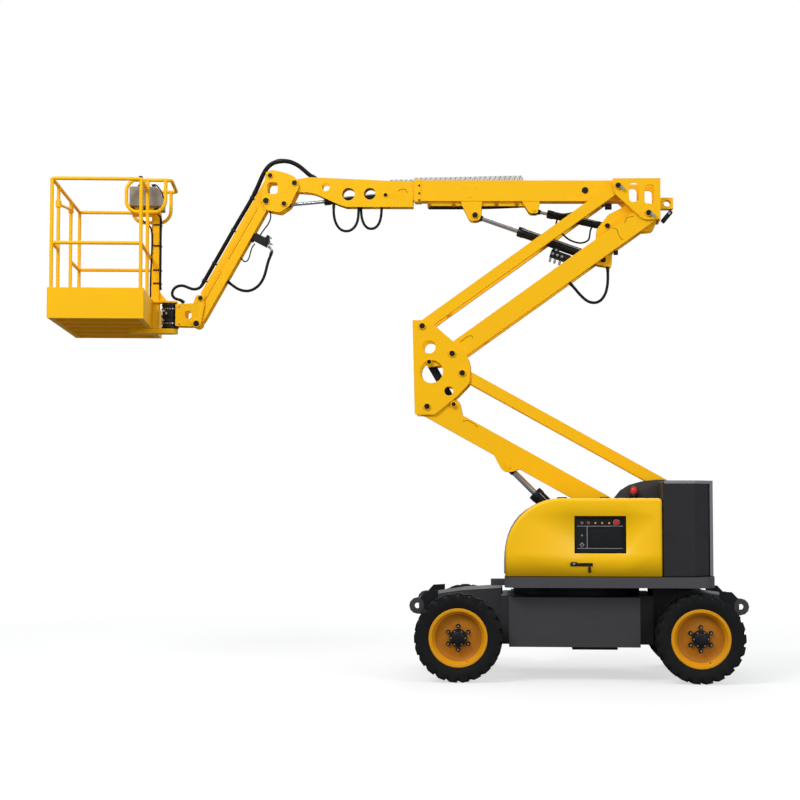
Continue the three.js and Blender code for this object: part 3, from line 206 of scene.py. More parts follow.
# %% One recipe for coated and moulded surfaces
def surface(name, colour, shade, roughness, grain_mm, grain_depth_mm, metallic=0.0, coat=0.0, patch_mm=350,
            wander=0.08, shine=0.5):
    """A finish whose tone drifts between two colours and whose grain is a bump of a real size."""
    material, tree = blank(name)
    where = add(tree, "ShaderNodeTexCoord")
    patch = add(tree, "ShaderNodeTexNoise", [("Vector", where, "Object")],
                [("Scale", 1000 / patch_mm), ("Detail", 5.0), ("Roughness", 0.6)])
    tone = add(tree, "ShaderNodeMix", [("Factor", patch, "Fac")],
               [(6, linear(colour)), (7, linear(shade))], data_type="RGBA")
    gloss = add(tree, "ShaderNodeMapRange", [("Value", patch, "Fac")],
                [("From Min", 0.3), ("From Max", 0.7),
                 ("To Min", roughness - wander), ("To Max", roughness + wander)])
    fine = add(tree, "ShaderNodeTexNoise", [("Vector", where, "Object")],
               [("Scale", 1000 / grain_mm), ("Detail", 3.0)])
    bump = add(tree, "ShaderNodeBump", [("Height", fine, "Fac")],
               [("Strength", 0.6), ("Distance", grain_depth_mm * MM)])
    skin = add(tree, "ShaderNodeBsdfPrincipled",
               [("Base Color", tone, 2), ("Roughness", gloss, "Result"), ("Normal", bump, "Normal")],
               [("Metallic", metallic), ("Specular IOR Level", shine),
                ("Coat Weight", coat), ("Coat Roughness", 0.12)])
    add(tree, "ShaderNodeOutputMaterial", [("Surface", skin, "BSDF")])
    return material


# %% Paints, plastics, rubber and metal
yellow_paint = surface("powder_coated_yellow_steel", "#FFC400", "#FBBA00", 0.5, 12, 0.03, shine=0.2)
hood_plastic = surface("moulded_yellow_abs_hood", "#FFCB00", "#FFBF00",
                       0.36, 12, 0.03, patch_mm=700, shine=0.3)
rim_paint = surface("painted_yellow_wheel_rim", "#EAA112", "#DB9206", 0.45, 5, 0.1, patch_mm=120, shine=0.3)
# The wheel's dish takes a darker copy of the rim's colour: painted shade for the recessed dish.
dish_painted_shade = surface("wheel_dish_painted_shade", "#B87208", "#A66405", 0.5, 5, 0.1, patch_mm=120, shine=0.25)
chassis_paint = surface("grey_painted_steel_plate", "#434143", "#39383B",
                        0.52, 5, 0.1, patch_mm=260, shine=0.3)
deck_paint = surface("grey_painted_turntable", "#4E4D50", "#454447", 0.5, 5, 0.1, patch_mm=260, shine=0.3)
cast_iron = surface("sand_cast_painted_counterweight", "#2C2B2D", "#242325",
                    0.6, 9, 0.4, patch_mm=180, shine=0.25)
trim_paint = surface("light_grey_painted_trim", "#8C8E92", "#7E8084", 0.45, 5, 0.1, patch_mm=200, shine=0.3)
black_paint = surface("black_painted_steel", "#101113", "#0A0B0D", 0.45, 4, 0.1, patch_mm=120, shine=0.3)
tyre_rubber = surface("vulcanised_tyre_rubber", "#121314", "#0C0D0E",
                      0.8, 4, 0.3, patch_mm=90, wander=0.06, shine=0.25)
hose_rubber = surface("braided_hose_rubber", "#08080A", "#050506", 0.6, 2.5, 0.2, patch_mm=60, shine=0.25)
black_plastic = surface("moulded_black_nylon", "#0E0F11", "#0A0A0C", 0.5, 2, 0.1, patch_mm=100, shine=0.3)
grey_plastic = surface("grey_control_box_plastic", "#9A9488", "#8A8479",
                       0.52, 2, 0.15, patch_mm=120, shine=0.35)
chain_plastic = surface("light_grey_drag_chain_nylon", "#D6D8D8", "#B4B6B7", 0.5, 2, 0.1, patch_mm=80)
red_plastic = surface("red_switch_plastic", "#D81E12", "#B5150C", 0.35, 2, 0.1, coat=0.1, patch_mm=40)
amber_lens = surface("amber_lamp_lens", "#FFB45A", "#E9912C", 0.25, 3, 0.1, coat=0.3, patch_mm=30)
dark_glass = surface("dark_display_glass", "#0A0C10", "#07080B", 0.14, 20, 0.02, coat=0.5, patch_mm=80)
chrome_rod = surface("hard_chromed_rod", "#C4C6C8", "#B4B6B9",
                     0.18, 1.5, 0.02, metallic=1.0, patch_mm=60, wander=0.05)
zinc_steel = surface("zinc_plated_fitting", "#B9BBBC", "#A3A6A8", 0.34, 2, 0.05, metallic=1.0, patch_mm=20)
# A darker copy of the yellow paint, painted shade: it colours the weld beads' slots and the tray brackets
# under the boom.
yellow_painted_shade = surface("darker_yellow_painted_shade", "#B87A00", "#8F5C00", 0.5, 3, 0.2, patch_mm=20, shine=0.2)
battery_case = surface("dark_battery_case", "#202124", "#17181A", 0.6, 3, 0.1, patch_mm=120)
print("finishes:", len(bpy.data.materials))

# %% [markdown]
# ### Taking a frame part over
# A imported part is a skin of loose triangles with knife-sharp edges. Real plate has a small round on every
# edge, which is what catches the light, so most parts are copied, cleaned into whole faces and bevelled.
# The copy stands for the frame's own part and rides on the same body.

# %% Piece helpers
SMOOTH = math.radians(38)
ON_AXIS = 0.0005  # outlines that close on their axis stop this many millimetres short of it
SIDES = ((-1, "near"), (1, "far"))


def stand(name, mesh, smooth=SMOOTH):
    """Shades a mesh, keeps its sharp edges sharp and puts it in the scene as an object."""
    mesh.shade_smooth()
    mesh.set_sharp_from_angle(angle=smooth)
    piece = bpy.data.objects.new(name, mesh)
    bpy.context.scene.collection.objects.link(piece)
    return piece


def settle(name, bm, finishes, body, replaced=(), bevel_mm=0, segments=2, smooth=SMOOTH):
    """Turns a bmesh into a finished piece that rides on a body and stands for frame nodes."""
    bmesh.ops.recalc_face_normals(bm, faces=bm.faces)
    mesh = bpy.data.meshes.new(name)
    bm.to_mesh(mesh)
    bm.free()
    finishes = finishes if isinstance(finishes, list) else [finishes]
    for finish in finishes:
        mesh.materials.append(finish)
    piece = stand(name, mesh, smooth)
    if bevel_mm:
        rounder = piece.modifiers.new("edge_round", "BEVEL")
        rounder.width = bevel_mm * MM
        rounder.segments = segments
        rounder.limit_method = "ANGLE"
        rounder.angle_limit = SMOOTH
        rounder.harden_normals = True
    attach(piece, body)
    if replaced:
        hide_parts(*replaced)
    return piece


def take_over(node, finish, bevel_mm=3, segments=2):
    """A cleaned and bevelled copy of a frame node."""
    bm = bmesh.new()
    bm.from_mesh(frame["nodes"][node].data)
    bm.transform(frame["nodes"][node].matrix_world)
    bmesh.ops.remove_doubles(bm, verts=bm.verts, dist=2e-5)
    bmesh.ops.dissolve_limit(bm, angle_limit=math.radians(0.6), verts=bm.verts, edges=bm.edges)
    settle(node + "_finished", bm, finish, BODY_OF[node], [node], bevel_mm, segments)


def block(bm, low, high, turn=None):
    """A box between two corners, turned about its middle if asked."""
    low, high = Vector(low), Vector(high)
    size = high - low
    place = Matrix.Translation((low + high) / 2) @ (turn or Matrix.Identity(4)) @ Matrix.Diagonal((*size, 1))
    bmesh.ops.create_cube(bm, size=1, matrix=place)


def bar(bm, start, end, radius, segments=16, radius_end=None):
    """A round bar between two points."""
    start, end = Vector(start), Vector(end)
    along = end - start
    place = Matrix.Translation((start + end) / 2) @ along.to_track_quat("Z", "Y").to_matrix().to_4x4()
    radius_end = radius if radius_end is None else radius_end
    bmesh.ops.create_cone(bm, cap_ends=True, segments=segments, radius1=radius, radius2=radius_end,
                          depth=along.length, matrix=place)


def turn_profile(bm, profile, centre, axis, steps):
    """Spins a closed outline of (radius, distance along the axis) points, in millimetres, round an axis."""
    axis = Vector(axis).normalized()
    out = axis.orthogonal().normalized()
    ring = [bm.verts.new(Vector(centre) + out * (r * MM) + axis * (d * MM)) for r, d in profile]
    edges = [bm.edges.new((a, b)) for a, b in zip(ring, ring[1:] + ring[:1])]
    bmesh.ops.spin(bm, geom=ring + edges, cent=centre, axis=axis, angle=2 * math.pi, steps=steps,
                   use_merge=True)
    bmesh.ops.remove_doubles(bm, verts=bm.verts, dist=1e-6)


def verts_in(geometry):
    return [item for item in geometry if isinstance(item, bmesh.types.BMVert)]


def plate(bm, corners, thickness):
    """A flat outline pulled out along a vector."""
    face = bm.faces.new([bm.verts.new(corner) for corner in corners])
    pulled = bmesh.ops.extrude_face_region(bm, geom=[face])["geom"]
    bmesh.ops.translate(bm, verts=verts_in(pulled), vec=thickness)


def pitched(degrees):
    """A turn about the joints' axis; a positive one lowers the +X end."""
    return Matrix.Rotation(math.radians(degrees), 4, "Y")


def swept(name, points, radius, finish, body, sides=3, replaced=(), ride=True):
    """A round tube along a list of points, made as a curve and then a mesh."""
    curve = bpy.data.curves.new(name, "CURVE")
    curve.dimensions = "3D"
    curve.bevel_depth = radius
    curve.bevel_resolution = sides
    curve.use_fill_caps = True
    spline = curve.splines.new("POLY")
    spline.points.add(len(points) - 1)
    for spot, point in zip(spline.points, points):
        spot.co = (*point, 1)
    holder = bpy.data.objects.new(name + "_line", curve)
    bpy.context.scene.collection.objects.link(holder)
    bpy.context.view_layer.update()
    mesh = bpy.data.meshes.new_from_object(holder.evaluated_get(bpy.context.evaluated_depsgraph_get()))
    bpy.data.objects.remove(holder)
    mesh.name = name
    mesh.materials.clear()
    mesh.materials.append(finish)
    piece = stand(name, mesh)
    if ride:
        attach(piece, body)
    if replaced:
        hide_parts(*replaced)
    return piece


def smooth_path(points, per_span=6):
    """Points along one smooth curve through the given ones (centripetal Catmull-Rom)."""
    spots = [Vector(p) for p in points]
    spots = [spots[0] * 2 - spots[1], *spots, spots[-1] * 2 - spots[-2]]
    path = []
    for a, b, c, d in zip(spots, spots[1:], spots[2:], spots[3:]):
        t = [0.0]
        for p, q in ((a, b), (b, c), (c, d)):
            t.append(t[-1] + max((q - p).length, 1e-9) ** 0.5)
        for step in range(per_span):
            u = t[1] + (t[2] - t[1]) * step / per_span
            ab = a.lerp(b, (u - t[0]) / (t[1] - t[0]))
            bc = b.lerp(c, (u - t[1]) / (t[2] - t[1]))
            cd = c.lerp(d, (u - t[2]) / (t[3] - t[2]))
            abc = ab.lerp(bc, (u - t[0]) / (t[2] - t[0]))
            bcd = bc.lerp(cd, (u - t[1]) / (t[3] - t[1]))
            path.append(abc.lerp(bcd, (u - t[1]) / (t[2] - t[1])))
    path.append(spots[-2])
    return path


def thin_hose(name, points, radius, body, place=at, per_span=4):
    """A thin hose through given points."""
    swept(name, smooth_path([place(*p) for p in points], per_span), radius, hose_rubber, body)


print("helpers ready")

# %% [markdown]
# ### Hoses
# Seven hoses hang free between two fittings: two over the jib's knuckle, one at the jib's valve, one behind
# the platform's rotator, two under the boom's inner tube and one at the boom cylinder's foot. Each is a
# rubber tube swept along the same route as the frame's own tube. A hose that crosses a joint rides on no
# body, but each end's ferrule rides on the body there. A painted ferrule with a hexagon closes each end.

# %% The hoses' routes, in drawing millimetres
HOSE_ROUTES = {
    "hose_boom_to_knuckle": (40, [
        (-2318, -30, 4400), (-2340, -30, 4412), (-2362, -31, 4427), (-2384, -32, 4446), (-2406, -33, 4466),
        (-2428, -34, 4485), (-2451, -35, 4503), (-2475, -36, 4519), (-2500, -37, 4532), (-2526, -38, 4543),
        (-2552, -38, 4550), (-2572, -38, 4553), (-2592, -38, 4555), (-2612, -38, 4555), (-2632, -38, 4554)]),
    "hose_knuckle_to_jib": (40, [
        (-2638, -38, 4553), (-2658, -37, 4549), (-2677, -36, 4543), (-2695, -35, 4535), (-2712, -34, 4525),
        (-2728, -33, 4512), (-2743, -32, 4497), (-2757, -30, 4479), (-2770, -28, 4459), (-2782, -26, 4438),
        (-2793, -24, 4416), (-2804, -21, 4393), (-2815, -18, 4369), (-2826, -15, 4344), (-2838, -12, 4319),
        (-2850, -9, 4294), (-2862, -6, 4270)]),
    "hose_jib_to_rotator": (26, [
        (-3330, 0, 3456), (-3350, 2, 3430), (-3378, 4, 3414), (-3412, 6, 3410), (-3446, 6, 3418),
        (-3480, 6, 3432), (-3514, 4, 3442), (-3548, 2, 3440), (-3578, -2, 3426), (-3598, -6, 3402),
        (-3606, -10, 3374), (-3600, -12, 3348), (-3582, -12, 3328), (-3556, -12, 3317), (-3530, -11, 3310),
        (-3508, -10, 3296)]),
    "hose_extension": (24, [
        (-2142, -30, 4150), (-2143, -30, 4115), (-2142, -30, 4080), (-2138, -30, 4045), (-2130, -30, 4010),
        (-2117, -30, 3978), (-2099, -30, 3950), (-2077, -30, 3930), (-2052, -30, 3918), (-2026, -30, 3915),
        (-2000, -30, 3919), (-1976, -30, 3932), (-1955, -30, 3952), (-1939, -30, 3978), (-1928, -30, 4008),
        (-1922, -30, 4042), (-1920, -30, 4078), (-1919, -30, 4112), (-1919, -30, 4148)]),
    "hose_extension_rear": (24, [
        (-1899, -12, 4142), (-1898, -12, 4108), (-1896, -12, 4074), (-1892, -12, 4042), (-1884, -12, 4010),
        (-1872, -12, 3981), (-1855, -12, 3958), (-1833, -12, 3942), (-1806, -12, 3937), (-1779, -12, 3942),
        (-1757, -12, 3957), (-1740, -12, 3980), (-1728, -12, 4009), (-1720, -12, 4041), (-1716, -12, 4074),
        (-1714, -12, 4108), (-1713, -12, 4142)]),
    "hose_top_knuckle": (26, [
        (294, 0, 3560), (295, 0, 3524), (295, 0, 3488), (294, 0, 3452), (291, 0, 3416), (285, 0, 3381),
        (276, 0, 3348), (262, 0, 3317), (243, 0, 3290), (218, 0, 3269), (190, 0, 3258), (160, 0, 3257),
        (131, 0, 3264), (104, 0, 3279), (78, 0, 3300), (54, 0, 3324), (31, 0, 3350), (9, 0, 3377),
        (-13, 0, 3403), (-36, 0, 3428)]),
    "hose_jib_valve": (26, [
        (-2708, 0, 3732), (-2720, 0, 3696), (-2734, 0, 3660), (-2745, 0, 3622), (-2754, 0, 3584),
        (-2764, 0, 3546), (-2777, 0, 3509), (-2795, 0, 3474), (-2818, 0, 3443), (-2846, 0, 3418),
        (-2878, 0, 3400), (-2913, 0, 3390), (-2949, 0, 3390), (-2985, 0, 3398), (-3019, 0, 3413),
        (-3050, 0, 3434), (-3080, 0, 3457), (-3108, 0, 3480)]),
}
HOSE_BENDS = {
    "hose_boom_to_knuckle": ("boom_inner", "knuckle_jib", (-2330, 0, 4400), (-2560, 0, 4548)),
    "hose_knuckle_to_jib": ("knuckle_jib", "jib_upper", (-2680, 0, 4530), (-2880, 0, 4250)),
    "hose_jib_to_rotator": ("jib_lower", "platform_head", (-3340, 0, 3440), (-3480, 0, 3430)),
    "hose_top_knuckle": ("knuckle_top", "boom_cyl_barrel", (290, 0, 3440), (0, 0, 3420)),
}

# %% Sweep each hose and close its ends
for name, (diameter, route) in HOSE_ROUTES.items():
    path = smooth_path([at(*p) for p in route])
    bends = HOSE_BENDS.get(name)
    hose = swept(name + "_rubber", path, diameter / 2 * MM, hose_rubber, BODY_OF[name],
                 replaced=[name], ride=bends is None)
    if bends:
        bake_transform(hose)
    ends = bends[:2] if bends else (BODY_OF[name], BODY_OF[name])
    for number, (tip, inner) in enumerate(((path[0], path[2]), (path[-1], path[-3]))):
        into = (inner - tip).normalized()
        bm = bmesh.new()
        sleeve_r = diameter * 0.5 * MM + 0.002
        bar(bm, tip - into * 0.004, tip + into * 0.026, sleeve_r, 20)
        bar(bm, tip - into * 0.016, tip - into * 0.003, sleeve_r * 0.95, 6)
        settle("%s_ferrule_%d" % (name, number), bm, black_paint, ends[number], bevel_mm=0.8)

# %% [markdown]
# ### Plates, arms and frames
# The chassis, the risers, the boom and the jib are welded from cut plate and folded tube. Their shapes in
# the frame are right, so each gets its finish and its rounded edges, larger on folded tube than on cut plate.

# %% Take the plate and tube parts over
PLATE_PARTS = {
    "chassis_frame": (chassis_paint, 4), "side_box_near": (chassis_paint, 3),
    "side_box_far": (chassis_paint, 3),
    "battery_pack": (battery_case, 6), "front_axle": (chassis_paint, 4), "rear_axle": (chassis_paint, 4),
    "steer_knuckle_near": (chassis_paint, 3), "steer_knuckle_far": (chassis_paint, 3),
    "slew_ring": (black_paint, 4), "turntable_frame": (deck_paint, 4), "counterweight": (cast_iron, 14),
    "channel_wall_near": (trim_paint, 1.5), "channel_wall_far": (trim_paint, 1.5),
    "ground_control_panel": (black_plastic, 2), "lower_arm": (yellow_paint, 6),
    "lower_tie": (yellow_paint, 5),
    "mid_knuckle": (yellow_paint, 3), "timing_link": (black_paint, 3), "upper_arm": (yellow_paint, 6),
    "upper_tie": (yellow_paint, 5), "top_knuckle": (yellow_paint, 3), "boom_outer": (yellow_paint, 6),
    "boom_extension": (yellow_paint, 4), "jib_knuckle": (yellow_paint, 3), "jib_upper_arm": (yellow_paint, 5),
    "jib_lower_arm": (yellow_paint, 5), "platform_bracket": (yellow_paint, 3),
    "rotator_body": (black_paint, 4),
    "platform_floor": (yellow_paint, 2), "toe_boards": (yellow_paint, 1),
    "platform_column": (yellow_paint, 4),
    "control_box": (grey_plastic, 7), "gate_bar": (yellow_paint, 2),
}
for node, (finish, edge) in PLATE_PARTS.items():
    take_over(node, finish, edge)
print("taken over:", len(PLATE_PARTS))

# %% [markdown]
# ### Wheels
# The tyre is solid rubber with staggered blocks on both shoulders. Its body is one outline spun round the
# axle, and the blocks are small bevelled boxes set round it. The disc is pressed from sheet, so it is spun
# from its own outline, with six nuts and a black hub cap bolted on.

# %% Tyres
AXLE_X, WHEEL_Y = 1000, 775
TYRE_R, TYRE_HALF = 368, 120
WHEEL_SPOTS = {"front_near": (-1, -1), "front_far": (-1, 1), "rear_near": (1, -1), "rear_far": (1, 1)}
TREAD_BLOCKS = 22


def wheel_axis(end, side):
    """The middle of a wheel and the way out along its axle."""
    return at(end * AXLE_X, side * WHEEL_Y, TYRE_R), Vector((0, side, 0))


def tyre(place, end, side):
    centre, out = wheel_axis(end, side)
    bm = bmesh.new()
    half_body = [(242.6, 100), (262, 109), (300, 119), (335, 118), (350, 108), (354, 80)]
    turn_profile(bm, [(r, -d) for r, d in half_body] + half_body[::-1], centre, out, 88)
    blocks = bmesh.new()
    for row, across in ((0, -0.066), (0.5, 0.066)):
        for step in range(TREAD_BLOCKS):
            angle = 2 * math.pi * (step + row) / TREAD_BLOCKS
            spin = Matrix.Translation(centre) @ Matrix.Rotation(angle, 4, "Y")
            lean = Matrix.Rotation(math.radians(14 if across > 0 else -14), 4, "X")
            block_size = Matrix.Diagonal((0.034, 0.100, 0.066, 1))
            bmesh.ops.create_cube(blocks, size=1,
                                  matrix=spin @ Matrix.Translation((0.3505, across, 0)) @ lean @ block_size)
            shoulder_size = Matrix.Diagonal((0.040, 0.018, 0.060, 1))
            bmesh.ops.create_cube(blocks, size=1,
                                  matrix=spin @ Matrix.Translation((0.334, across * 1.68, 0)) @ shoulder_size)
    bmesh.ops.bevel(blocks, geom=blocks.edges[:], offset=0.003, affect="EDGES", segments=1, profile=0.5,
                    material=-1)
    joined = bpy.data.meshes.new("tread")
    blocks.to_mesh(joined)
    blocks.free()
    bm.from_mesh(joined)
    bpy.data.meshes.remove(joined)
    for vert in bm.verts:
        arm = vert.co - centre
        reach = math.hypot(arm.x, arm.z)
        if reach > TYRE_R * MM:
            vert.co.x = centre.x + arm.x * TYRE_R * MM / reach
            vert.co.z = centre.z + arm.z * TYRE_R * MM / reach
        vert.co.y = centre.y + max(-TYRE_HALF * MM, min(TYRE_HALF * MM, arm.y))
    node = "tyre_" + place
    settle(node + "_treaded", bm, tyre_rubber, BODY_OF[node], [node])


for place, (end, side) in WHEEL_SPOTS.items():
    tyre(place, end, side)
print("tyres with", TREAD_BLOCKS * 2, "blocks each")

# %% Discs, nuts and hubs
NUT_CIRCLE, CAP_CIRCLE, VALVE_CIRCLE = 0.097, 0.060, 0.205
# Reach and depth of the dish faces that take the painted shade.
DISH_SHADE_REACH, DISH_SHADE_DEPTH = 0.197, 0.04


def around(centre, angle, radius):
    """A point at a distance from the centre, turned about the axle."""
    return centre + Matrix.Rotation(angle, 4, "Y") @ Vector((radius, 0, 0))


def disc(place, end, side):
    centre, out = wheel_axis(end, side)
    node = "rim_" + place
    bm = bmesh.new()
    pressed = [(242, -106), (242, 98), (246, 106), (240, 112), (222, 110), (214, 102), (206, 78), (196, 60),
               (180, 48), (150, 46), (120, 52), (70, 52), (70, 38), (120, 38), (150, 34), (184, 34),
               (204, 46),
               (216, 70), (228, -106)]
    turn_profile(bm, pressed, centre, out, 72)
    pressed_disc = settle(node + "_pressed", bm, [rim_paint, dish_painted_shade], BODY_OF[node], [node])
    # Outward dish faces inside the reach take the second finish, a darker orange that is painted shade.
    for face in pressed_disc.data.polygons:
        arm = face.center - centre
        if math.hypot(arm.x, arm.z) < DISH_SHADE_REACH and arm.y * side > DISH_SHADE_DEPTH:
            face.material_index = 1
    hub, nuts, studs, valve = (bmesh.new() for _ in range(4))
    cap = [(0.5, 36), (74, 36), (74, 84), (68, 92), (52, 94), (46, 102), (40, 104), (0.5, 104)]
    turn_profile(hub, cap, centre, out, 40)
    for step in range(8):
        spot = around(centre, math.pi * step / 4, CAP_CIRCLE)
        bar(hub, spot + out * 0.088, spot + out * 0.098, 0.005, 6)
    for step in range(6):
        spot = around(centre, math.pi * (step / 3 + 1 / 6), NUT_CIRCLE)
        bar(nuts, spot + out * 0.050, spot + out * 0.056, 0.019, 20)
        bar(nuts, spot + out * 0.054, spot + out * 0.074, 0.015, 6, 0.0135)
        bar(studs, spot + out * 0.070, spot + out * 0.088, 0.008, 12)
        spot = around(centre, math.pi * (step / 3), CAP_CIRCLE)
        bar(studs, spot + out * 0.090, spot + out * 0.101, 0.006, 12)
    stem = around(centre, 1.2, VALVE_CIRCLE)
    bar(valve, stem + out * 0.060, stem + out * 0.095, 0.004, 10)
    for part, bm, finish in (("_hub", hub, black_paint), ("_nuts", nuts, black_paint),
                             ("_stud_tips", studs, zinc_steel), ("_valve", valve, black_plastic)):
        settle(node + part, bm, finish, BODY_OF[node])


for place, (end, side) in WHEEL_SPOTS.items():
    disc(place, end, side)
print("discs done")

# %% [markdown]
# ### Hoods
# Each hood is one moulded shell, 5 mm thick, open towards the arms and below. It is drawn as its side view,
# the big front corner is rounded, the face is pulled out to the shell's depth, and the edge between face
# and band gets a soft round. Only then does the shell get its thickness.

# %% Hood shells
HOOD_X = (-605, 692)
HOOD_Z = (881, 1528)
HOOD_Y = (241, 856)
HOOD_CURVE = 464
WINDOW = ((-33, 394), (1071, 1381))
REAR_ROUND, FACE_ROUND, SHELL = 0.03, 0.028, 0.005


def hood(node, side):
    bm = bmesh.new()
    corners = [(HOOD_X[0], HOOD_Z[0]), (HOOD_X[1], HOOD_Z[0]), (HOOD_X[1], HOOD_Z[1]), (HOOD_X[0], HOOD_Z[1])]
    ring = [bm.verts.new(at(x, side * HOOD_Y[1], z)) for x, z in corners]
    bm.faces.new(ring)
    bmesh.ops.bevel(bm, geom=[ring[3]], offset=HOOD_CURVE * MM, affect="VERTICES", segments=24, profile=0.5,
                    material=-1)
    bmesh.ops.bevel(bm, geom=[max(bm.verts, key=lambda v: v.co.x + v.co.z)], offset=REAR_ROUND,
                    affect="VERTICES", segments=5, profile=0.5, material=-1)
    edge = [e for e in bm.edges if max(v.co.z for v in e.verts) > HOOD_Z[0] * MM + 0.001]
    pulled = bmesh.ops.extrude_edge_only(bm, edges=edge)["geom"]
    depth = (HOOD_Y[1] - HOOD_Y[0]) * MM
    bmesh.ops.translate(bm, verts=verts_in(pulled), vec=(0, -side * depth, 0))
    bm.edges.ensure_lookup_table()
    folds = [e for e in bm.edges if len(e.link_faces) == 2 and e.calc_face_angle(0) > math.radians(70)
             and all(abs(v.co.y - at(0, side * HOOD_Y[1], 0).y) < 1e-5 for v in e.verts)]
    bmesh.ops.bevel(bm, geom=folds, offset=FACE_ROUND, affect="EDGES", segments=6, profile=0.5, material=-1)
    if side < 0:
        for normal, limits in (((1, 0, 0), WINDOW[0]), ((0, 0, 1), WINDOW[1])):
            for limit in limits:
                bmesh.ops.bisect_plane(bm, geom=bm.verts[:] + bm.edges[:] + bm.faces[:],
                                       plane_co=at(*(limit * part for part in normal)), plane_no=normal)
        low, high = at(WINDOW[0][0], 0, WINDOW[1][0]), at(WINDOW[0][1], 0, WINDOW[1][1])
        inside = [f for f in bm.faces if low.x < f.calc_center_median().x < high.x
                  and low.z < f.calc_center_median().z < high.z and abs(f.normal.y) > 0.9]
        bmesh.ops.delete(bm, geom=inside, context="FACES")
    bmesh.ops.recalc_face_normals(bm, faces=bm.faces)
    shell = settle(node + "_shell", bm, hood_plastic, BODY_OF[node], [node], smooth=math.radians(50))
    flat = sum((f.normal * f.area for f in shell.data.polygons), Vector())
    if flat.y * side < 0:
        shell.data.flip_normals()
    wall = shell.modifiers.new("wall", "SOLIDIFY")
    wall.thickness = SHELL
    wall.offset = -1


hood("hood_near", -1)
hood("hood_far", 1)
print("hoods moulded")

# %% [markdown]
# ### Cylinders
# A hydraulic cylinder is a painted barrel with a gland nut, a chromed rod and a forged eye at each end, and
# oil reaches its far port through a thin steel line along the barrel.

# %% Cylinder barrels and rods
CYLINDERS = {
    "riser": ((260, 958), (-590, 1808), 880, 890, 60, 27, 52, 40),
    "boom": ((252, 3628), (-876, 4038), 800, 1075, 42, 20, 44, 40),
    "level": ((292, 3930), (-354, 4080), 545, 560, 34, 15, 36, 40),
    "slave": ((-1674, 4231), (-2583, 4160), 560, 600, 30, 15, 30, 34),
}


def eye(bm, spot, radius, hole, half):
    """A forged ring round a pin: an outline spun about the pin."""
    outline = [(hole, -half + 3), (hole + 3, -half), (radius - 4, -half), (radius, -half + 4),
               (radius, half - 4),
               (radius - 4, half), (hole + 3, half), (hole, half - 3)]
    turn_profile(bm, outline, at(spot[0], 0, spot[1]), (0, 1, 0), 32)


PORT = Vector((0.012, 0.008, 0.012))


def hydraulic_cylinder(name, base, tip, barrel_length, rod_length, barrel_r, rod_r, eye_r, half):
    start, end = at(base[0], 0, base[1]), at(tip[0], 0, tip[1])
    along = (end - start).normalized()
    total = (end - start).length / MM
    barrel_node, rod_node = name + "_cylinder_barrel", name + "_cylinder_rod"
    bm = bmesh.new()
    body = [(rod_r + 1, eye_r + 20), (barrel_r - 5, eye_r * 0.7), (barrel_r, eye_r * 0.7 + 6),
            (barrel_r, barrel_length - 60), (barrel_r + 4, barrel_length - 57),
            (barrel_r + 4, barrel_length - 8),
            (barrel_r, barrel_length - 2), (rod_r + 5, barrel_length), (rod_r + 1, barrel_length - 6)]
    turn_profile(bm, body, start, along, 48)
    eye(bm, base, eye_r, 23 if name != "slave" else 15, half)
    side = Vector((0, -1, 0))
    lean = along.cross(side) * 0.4 + side * 0.92
    first, last = eye_r + 60, barrel_length - 34
    for d in (first, last):
        port = start + (along * d + lean * barrel_r) * MM
        bar(bm, port - lean * 6 * MM, port + lean * 14 * MM, 0.010, 6)
        block(bm, port - PORT, port + PORT)
    settle(barrel_node + "_painted", bm, black_paint, BODY_OF[barrel_node], [barrel_node], bevel_mm=1)
    line = [start + (along * d + lean * (barrel_r + 12)) * MM for d in (first, first + 30, last - 30, last)]
    swept(name + "_oil_line", line, 0.005, zinc_steel, BODY_OF[barrel_node])
    bm = bmesh.new()
    tip_d, tail_d = total - eye_r * 0.75, total - rod_length
    turned = [(0.5, tail_d), (rod_r, tail_d), (rod_r, tip_d), (0.5, tip_d)]
    turn_profile(bm, turned, start, along, 40)
    settle(rod_node + "_chromed", bm, chrome_rod, BODY_OF[rod_node], [rod_node])
    bm = bmesh.new()
    eye(bm, tip, eye_r * 0.9, 25 if name in ("riser", "boom") else 20, half)
    neck = [(rod_r - 2, total - eye_r - 26), (rod_r + 7, total - eye_r - 22),
            (rod_r + 7, total - eye_r * 0.6),
            (rod_r - 2, total - eye_r * 0.6)]
    turn_profile(bm, neck, start, along, 32)
    settle(rod_node + "_eye", bm, black_paint, BODY_OF[rod_node])


for name, sizes in CYLINDERS.items():
    hydraulic_cylinder(name, *sizes)
print("cylinders:", len(CYLINDERS))

# %% [markdown]
# ### Platform rails
# The rails are bent round tube, so each run is one tube swept along its line with the corners drawn round,
# which the frame's straight bars only hint at.

# %% Rails
PLATFORM_X = (-962, -158)
PLATFORM_HALF = 915
RAIL_X = (PLATFORM_X[0] + 25, PLATFORM_X[1] - 25)
RAIL_Y = (-PLATFORM_HALF + 25, PLATFORM_HALF - 25)
RAIL_TOP, RAIL_MID, RAIL_FOOT = 4248, 3697, 3084.4
ENTRY_Y = (-500, 290)
GUARD_Y, GUARD_TOP = 300, 4346


def bent(points, radius_mm=45):
    """The points of a bent tube: every corner of the line is rounded."""
    spots = [on_platform(*p) for p in points]
    path = [spots[0]]
    for a, b, c in zip(spots, spots[1:], spots[2:]):
        into, away = a - b, c - b
        reach = min(radius_mm * MM, into.length * 0.49, away.length * 0.49)
        start, stop = b + into.normalized() * reach, b + away.normalized() * reach
        for step in range(7):
            t = step / 6
            path.append(start * (1 - t) ** 2 + b * 2 * t * (1 - t) + stop * t ** 2)
    return path + [spots[-1]]


